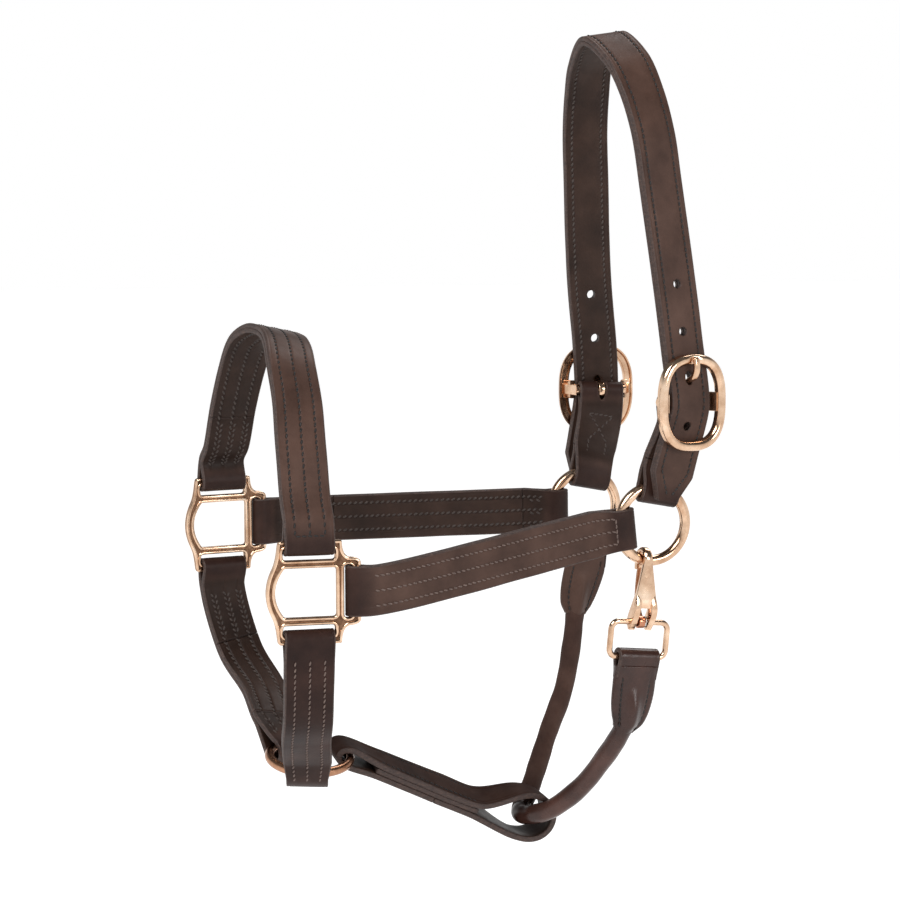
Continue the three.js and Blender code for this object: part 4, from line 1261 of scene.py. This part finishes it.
def make_throat():
    path, _ = spline(ROLL_POINTS, 14)
    angles = full_turn(28)
    from_seam = angles - math.pi / 2

    def section(share):
        wobble = 0.1 * math.sin(share * 61) + 0.06 * math.sin(share * 143)
        seam = 0.5 * np.exp(-((np.abs(from_seam) - 0.14) / 0.09) ** 2)
        seam -= 0.25 * np.exp(-(from_seam / 0.07) ** 2)
        radius = ROLL_RADIUS - 0.15 + wobble + seam
        return np.stack([np.cos(angles) * radius, np.sin(angles) * radius], 1)
    points, faces = loft([tube_grid(path, section, up=(0, 1, 0.4))])
    slots = [0 if points[list(face)].mean(0)[0] > -6 else 1 for face in faces]
    roll = make_object("rolled_throat_leather", wavy(points, 0.18, 0.08), faces, [POLISHED, SUEDE],
                       slots)
    dress(roll, "throat", "leather", "throat_cover", "throat_core")
    on_eye = {"radius": EYE_WIRE / 2 + 0.7 + CLEARANCE + HALF_PLY, "flare": 10}
    on_ring = {**ON_THROAT_RING, "back": fall_away(RING_RADIUS, RING_WIRE, FAR_TAB_LOOP)}
    make_tab(1, "near", on_eye, TAB_WIDTH, POLISHED)
    make_tab(-1, "far", on_ring, FAR_TAB_LOOP, GRAIN)


# ---- snap hook ------------------------------------------------------------------------------

def snap_place(points):
    """From (out from the horse, down the shank, across) to a place."""
    across = np.cross((1, 0, 0), SNAP_DOWN)
    return SNAP_TOP + np.asarray(points, float) @ np.stack([(1, 0, 0), SNAP_DOWN, across])


def shank_section(share):
    down = np.interp(share, [0, 23 / 37, 1], [0, 0.06, 1])
    wide = 2.1 + 4.9 * down
    deep = SNAP_DEPTH / 2 * (0.85 + 0.35 * down) * (1 - 0.4 * float(smooth_step(share, 0.92, 1)))
    right = [[deep, wide / 2], [deep * 0.45, wide], [-deep * 0.8, wide], [-deep, wide / 2]]
    left = [[depth, -across] for depth, across in reversed(right)]
    return np.array(right + left)


def arm_section(share):
    swell = math.sin(math.pi * min(1, share * 1.06)) ** 0.8
    return box_section(1.3 + 2.3 * swell, 1.8, 0.7)


def make_snap():
    inside = RING_WIRE + 1.1
    middle = inside + SNAP_DEPTH / 2
    hook = [(-middle + 0.5, 5.8, 0), (-middle + 0.1, 3, 0)]
    hook += [(-middle * math.cos(turn), -middle * math.sin(turn), 0)
             for turn in np.linspace(0, math.pi, 22)]
    shank = [(middle + 0.1 * k, y, 0) for k, y in enumerate(np.linspace(2, EYE_DROP - 8, 14))]
    grids = [tube_grid(hook + shank, shank_section)]
    for sign in (-1, 1):
        arm = [(middle + 0.1, EYE_DROP - 16, sign * 3.6), (middle + 0.3, EYE_DROP - 7, sign * 5.1),
               (EYE_OUT + 0.4, EYE_DROP, sign * 5.1), (EYE_OUT, EYE_DROP + 4.2, sign * 5.0)]
        grids.append(tube_grid(spline(arm, 8)[0], arm_section))
    points, faces = loft(grids)
    piece = make_object("snap_body_brass", snap_place(points), faces, [BRASS])
    bevel = piece.modifiers.new("edges", "BEVEL")
    bevel.width = 0.35 * MM
    bevel.segments = 2
    bevel.limit_method = "ANGLE"
    bevel.angle_limit = math.radians(25)
    apply_modifiers(piece)
    sharpen(piece, 30)
    dress(piece, "throat", "brass", "snap_body")
    make_eye()
    make_gate(inside)


def make_eye():
    height = EYE_HEIGHT - EYE_WIRE
    loop = box_section(height / 2, (EYE_WIDTH - EYE_WIRE) / 2, 4.2, 8)
    path = np.column_stack([np.full(len(loop), EYE_OUT), loop + (EYE_DROP + height / 2, 0)])
    grid = tube_grid(path, round_section(EYE_WIRE / 2, 18), closed=True, up=(1, 0, 0))
    points, faces = loft([grid], closed=True)
    make_metal("snap_eye_brass", snap_place(points), faces, "throat", "snap_eye")


def make_gate(inside):
    ring = np.column_stack([round_section(2.9, 28) + (EYE_OUT, EYE_DROP), np.zeros(28)])
    knuckle = loft([tube_grid(ring, box_section(0.55, 1.7, 0.35), closed=True)], closed=True)
    lever, _ = spline([(1.2, EYE_DROP - 3.1, 0), (-1.6, EYE_DROP - 7, 0), (-3, EYE_DROP - 11, 0),
                       (-inside + 0.2, 10, 0), (-inside + 0.6, 4.8, 0)], 10)
    arm = loft([tube_grid(lever, lambda t: box_section(0.75, 1.7 - 0.2 * t, 0.4))])
    points, faces = joined(knuckle, arm)
    slots = [0] * len(knuckle[1]) + [1] * len(arm[1])
    make_metal("snap_gate_brass", snap_place(points), faces, "gate", "snap_gate",
               (COPPER, WARM_BRASS), slots)
    turns = np.linspace(0, 4 * math.pi, 60)
    coil = np.stack([EYE_OUT + 2.85 * np.cos(turns), EYE_DROP + 2.85 * np.sin(turns),
                     1.95 + turns * 0.06], 1)
    points, faces = loft([tube_grid(coil, round_section(0.3, 8))])
    spring = make_object("snap_spring_steel", snap_place(points), faces, [STEEL])
    dress(spring, "throat", "steel", "snap_spring")


# ---- studio ---------------------------------------------------------------------------------

# The camera's place, in degrees and metres, and what it looks at
CAMERA_AZIMUTH = 68
CAMERA_ELEVATION = 5.5
CAMERA_DISTANCE = 1.3
CAMERA_LENS = 96.2
CAMERA_TARGET = np.array([0, -100.4, 39.9])


def towards(azimuth, elevation):
    """The direction seen at an azimuth from the nose, turning to the near side, in degrees."""
    az, el = math.radians(azimuth), math.radians(elevation)
    return np.array([math.sin(az) * math.cos(el), -math.cos(az) * math.cos(el), math.sin(el)])


def set_around(thing, azimuth, elevation, distance):
    """Places a camera or light round the headcollar and aims it there."""
    bpy.context.scene.collection.objects.link(thing)
    target = Vector(to_frame(CAMERA_TARGET))
    thing.location = target + Vector(towards(azimuth, elevation) * distance)
    thing.rotation_euler = (target - thing.location).to_track_quat("-Z", "Y").to_euler()


def add_light(name, azimuth, elevation, distance, size, power):
    light = bpy.data.lights.new(name, "AREA")
    light.size = size
    light.energy = power
    set_around(bpy.data.objects.new(name, light), azimuth, elevation, distance)


def make_floor():
    mesh = bpy.data.meshes.new("floor")
    edge = 12
    drop = cad_bounds[0][2] - 0.05
    corners = [(-edge, -edge, drop), (edge, -edge, drop), (edge, edge, drop), (-edge, edge, drop)]
    mesh.from_pydata(corners, [], [(0, 1, 2, 3)])
    floor = bpy.data.objects.new("floor", mesh)
    material, tree, shader = new_material("floor_pale")
    set_inputs(tree, shader, {
        "Base Color": (0.35, 0.35, 0.35, 1),
        "Roughness": 0.9,
        "Emission Color": (1, 1, 1, 1),
        "Emission Strength": 0.9,
    })
    mesh.materials.append(material)
    bpy.context.scene.collection.objects.link(floor)


def make_world():
    """A pale studio: bright near the horizon and dimmer overhead."""
    world = bpy.data.worlds.new("studio")
    world.use_nodes = True
    tree = world.node_tree
    place = tree.nodes.new("ShaderNodeTexCoord")
    split = add_node(tree, "ShaderNodeSeparateXYZ", {"Vector": place.outputs["Generated"]})
    set_inputs(tree, tree.nodes["Background"], {
        "Color": (1, 1, 1, 1),
        "Strength": add_range(tree, split.outputs["Z"], 0.2, 0.5, 1.0, 0.12),
    })
    return world


def make_studio():
    camera_data = bpy.data.cameras.new("camera")
    camera_data.lens = CAMERA_LENS
    camera_data.sensor_width = 36
    camera = bpy.data.objects.new("camera", camera_data)
    set_around(camera, CAMERA_AZIMUTH, CAMERA_ELEVATION, CAMERA_DISTANCE)
    bpy.context.scene.camera = camera
    bpy.context.scene.world = make_world()
    bpy.context.scene.view_settings.view_transform = "Standard"
    add_light("key", 40, 48, 1.6, 0.8, 20)
    add_light("fill", 112, 16, 1.8, 0.5, 8)
    add_light("rim", 215, 50, 1.8, 0.8, 10)
    make_floor()


make_crown()
make_buckles()
make_rings()
make_squares()
make_cheeks()
make_nose()
make_chin_straps()
make_connector()
make_throat()
make_snap()
make_studio()
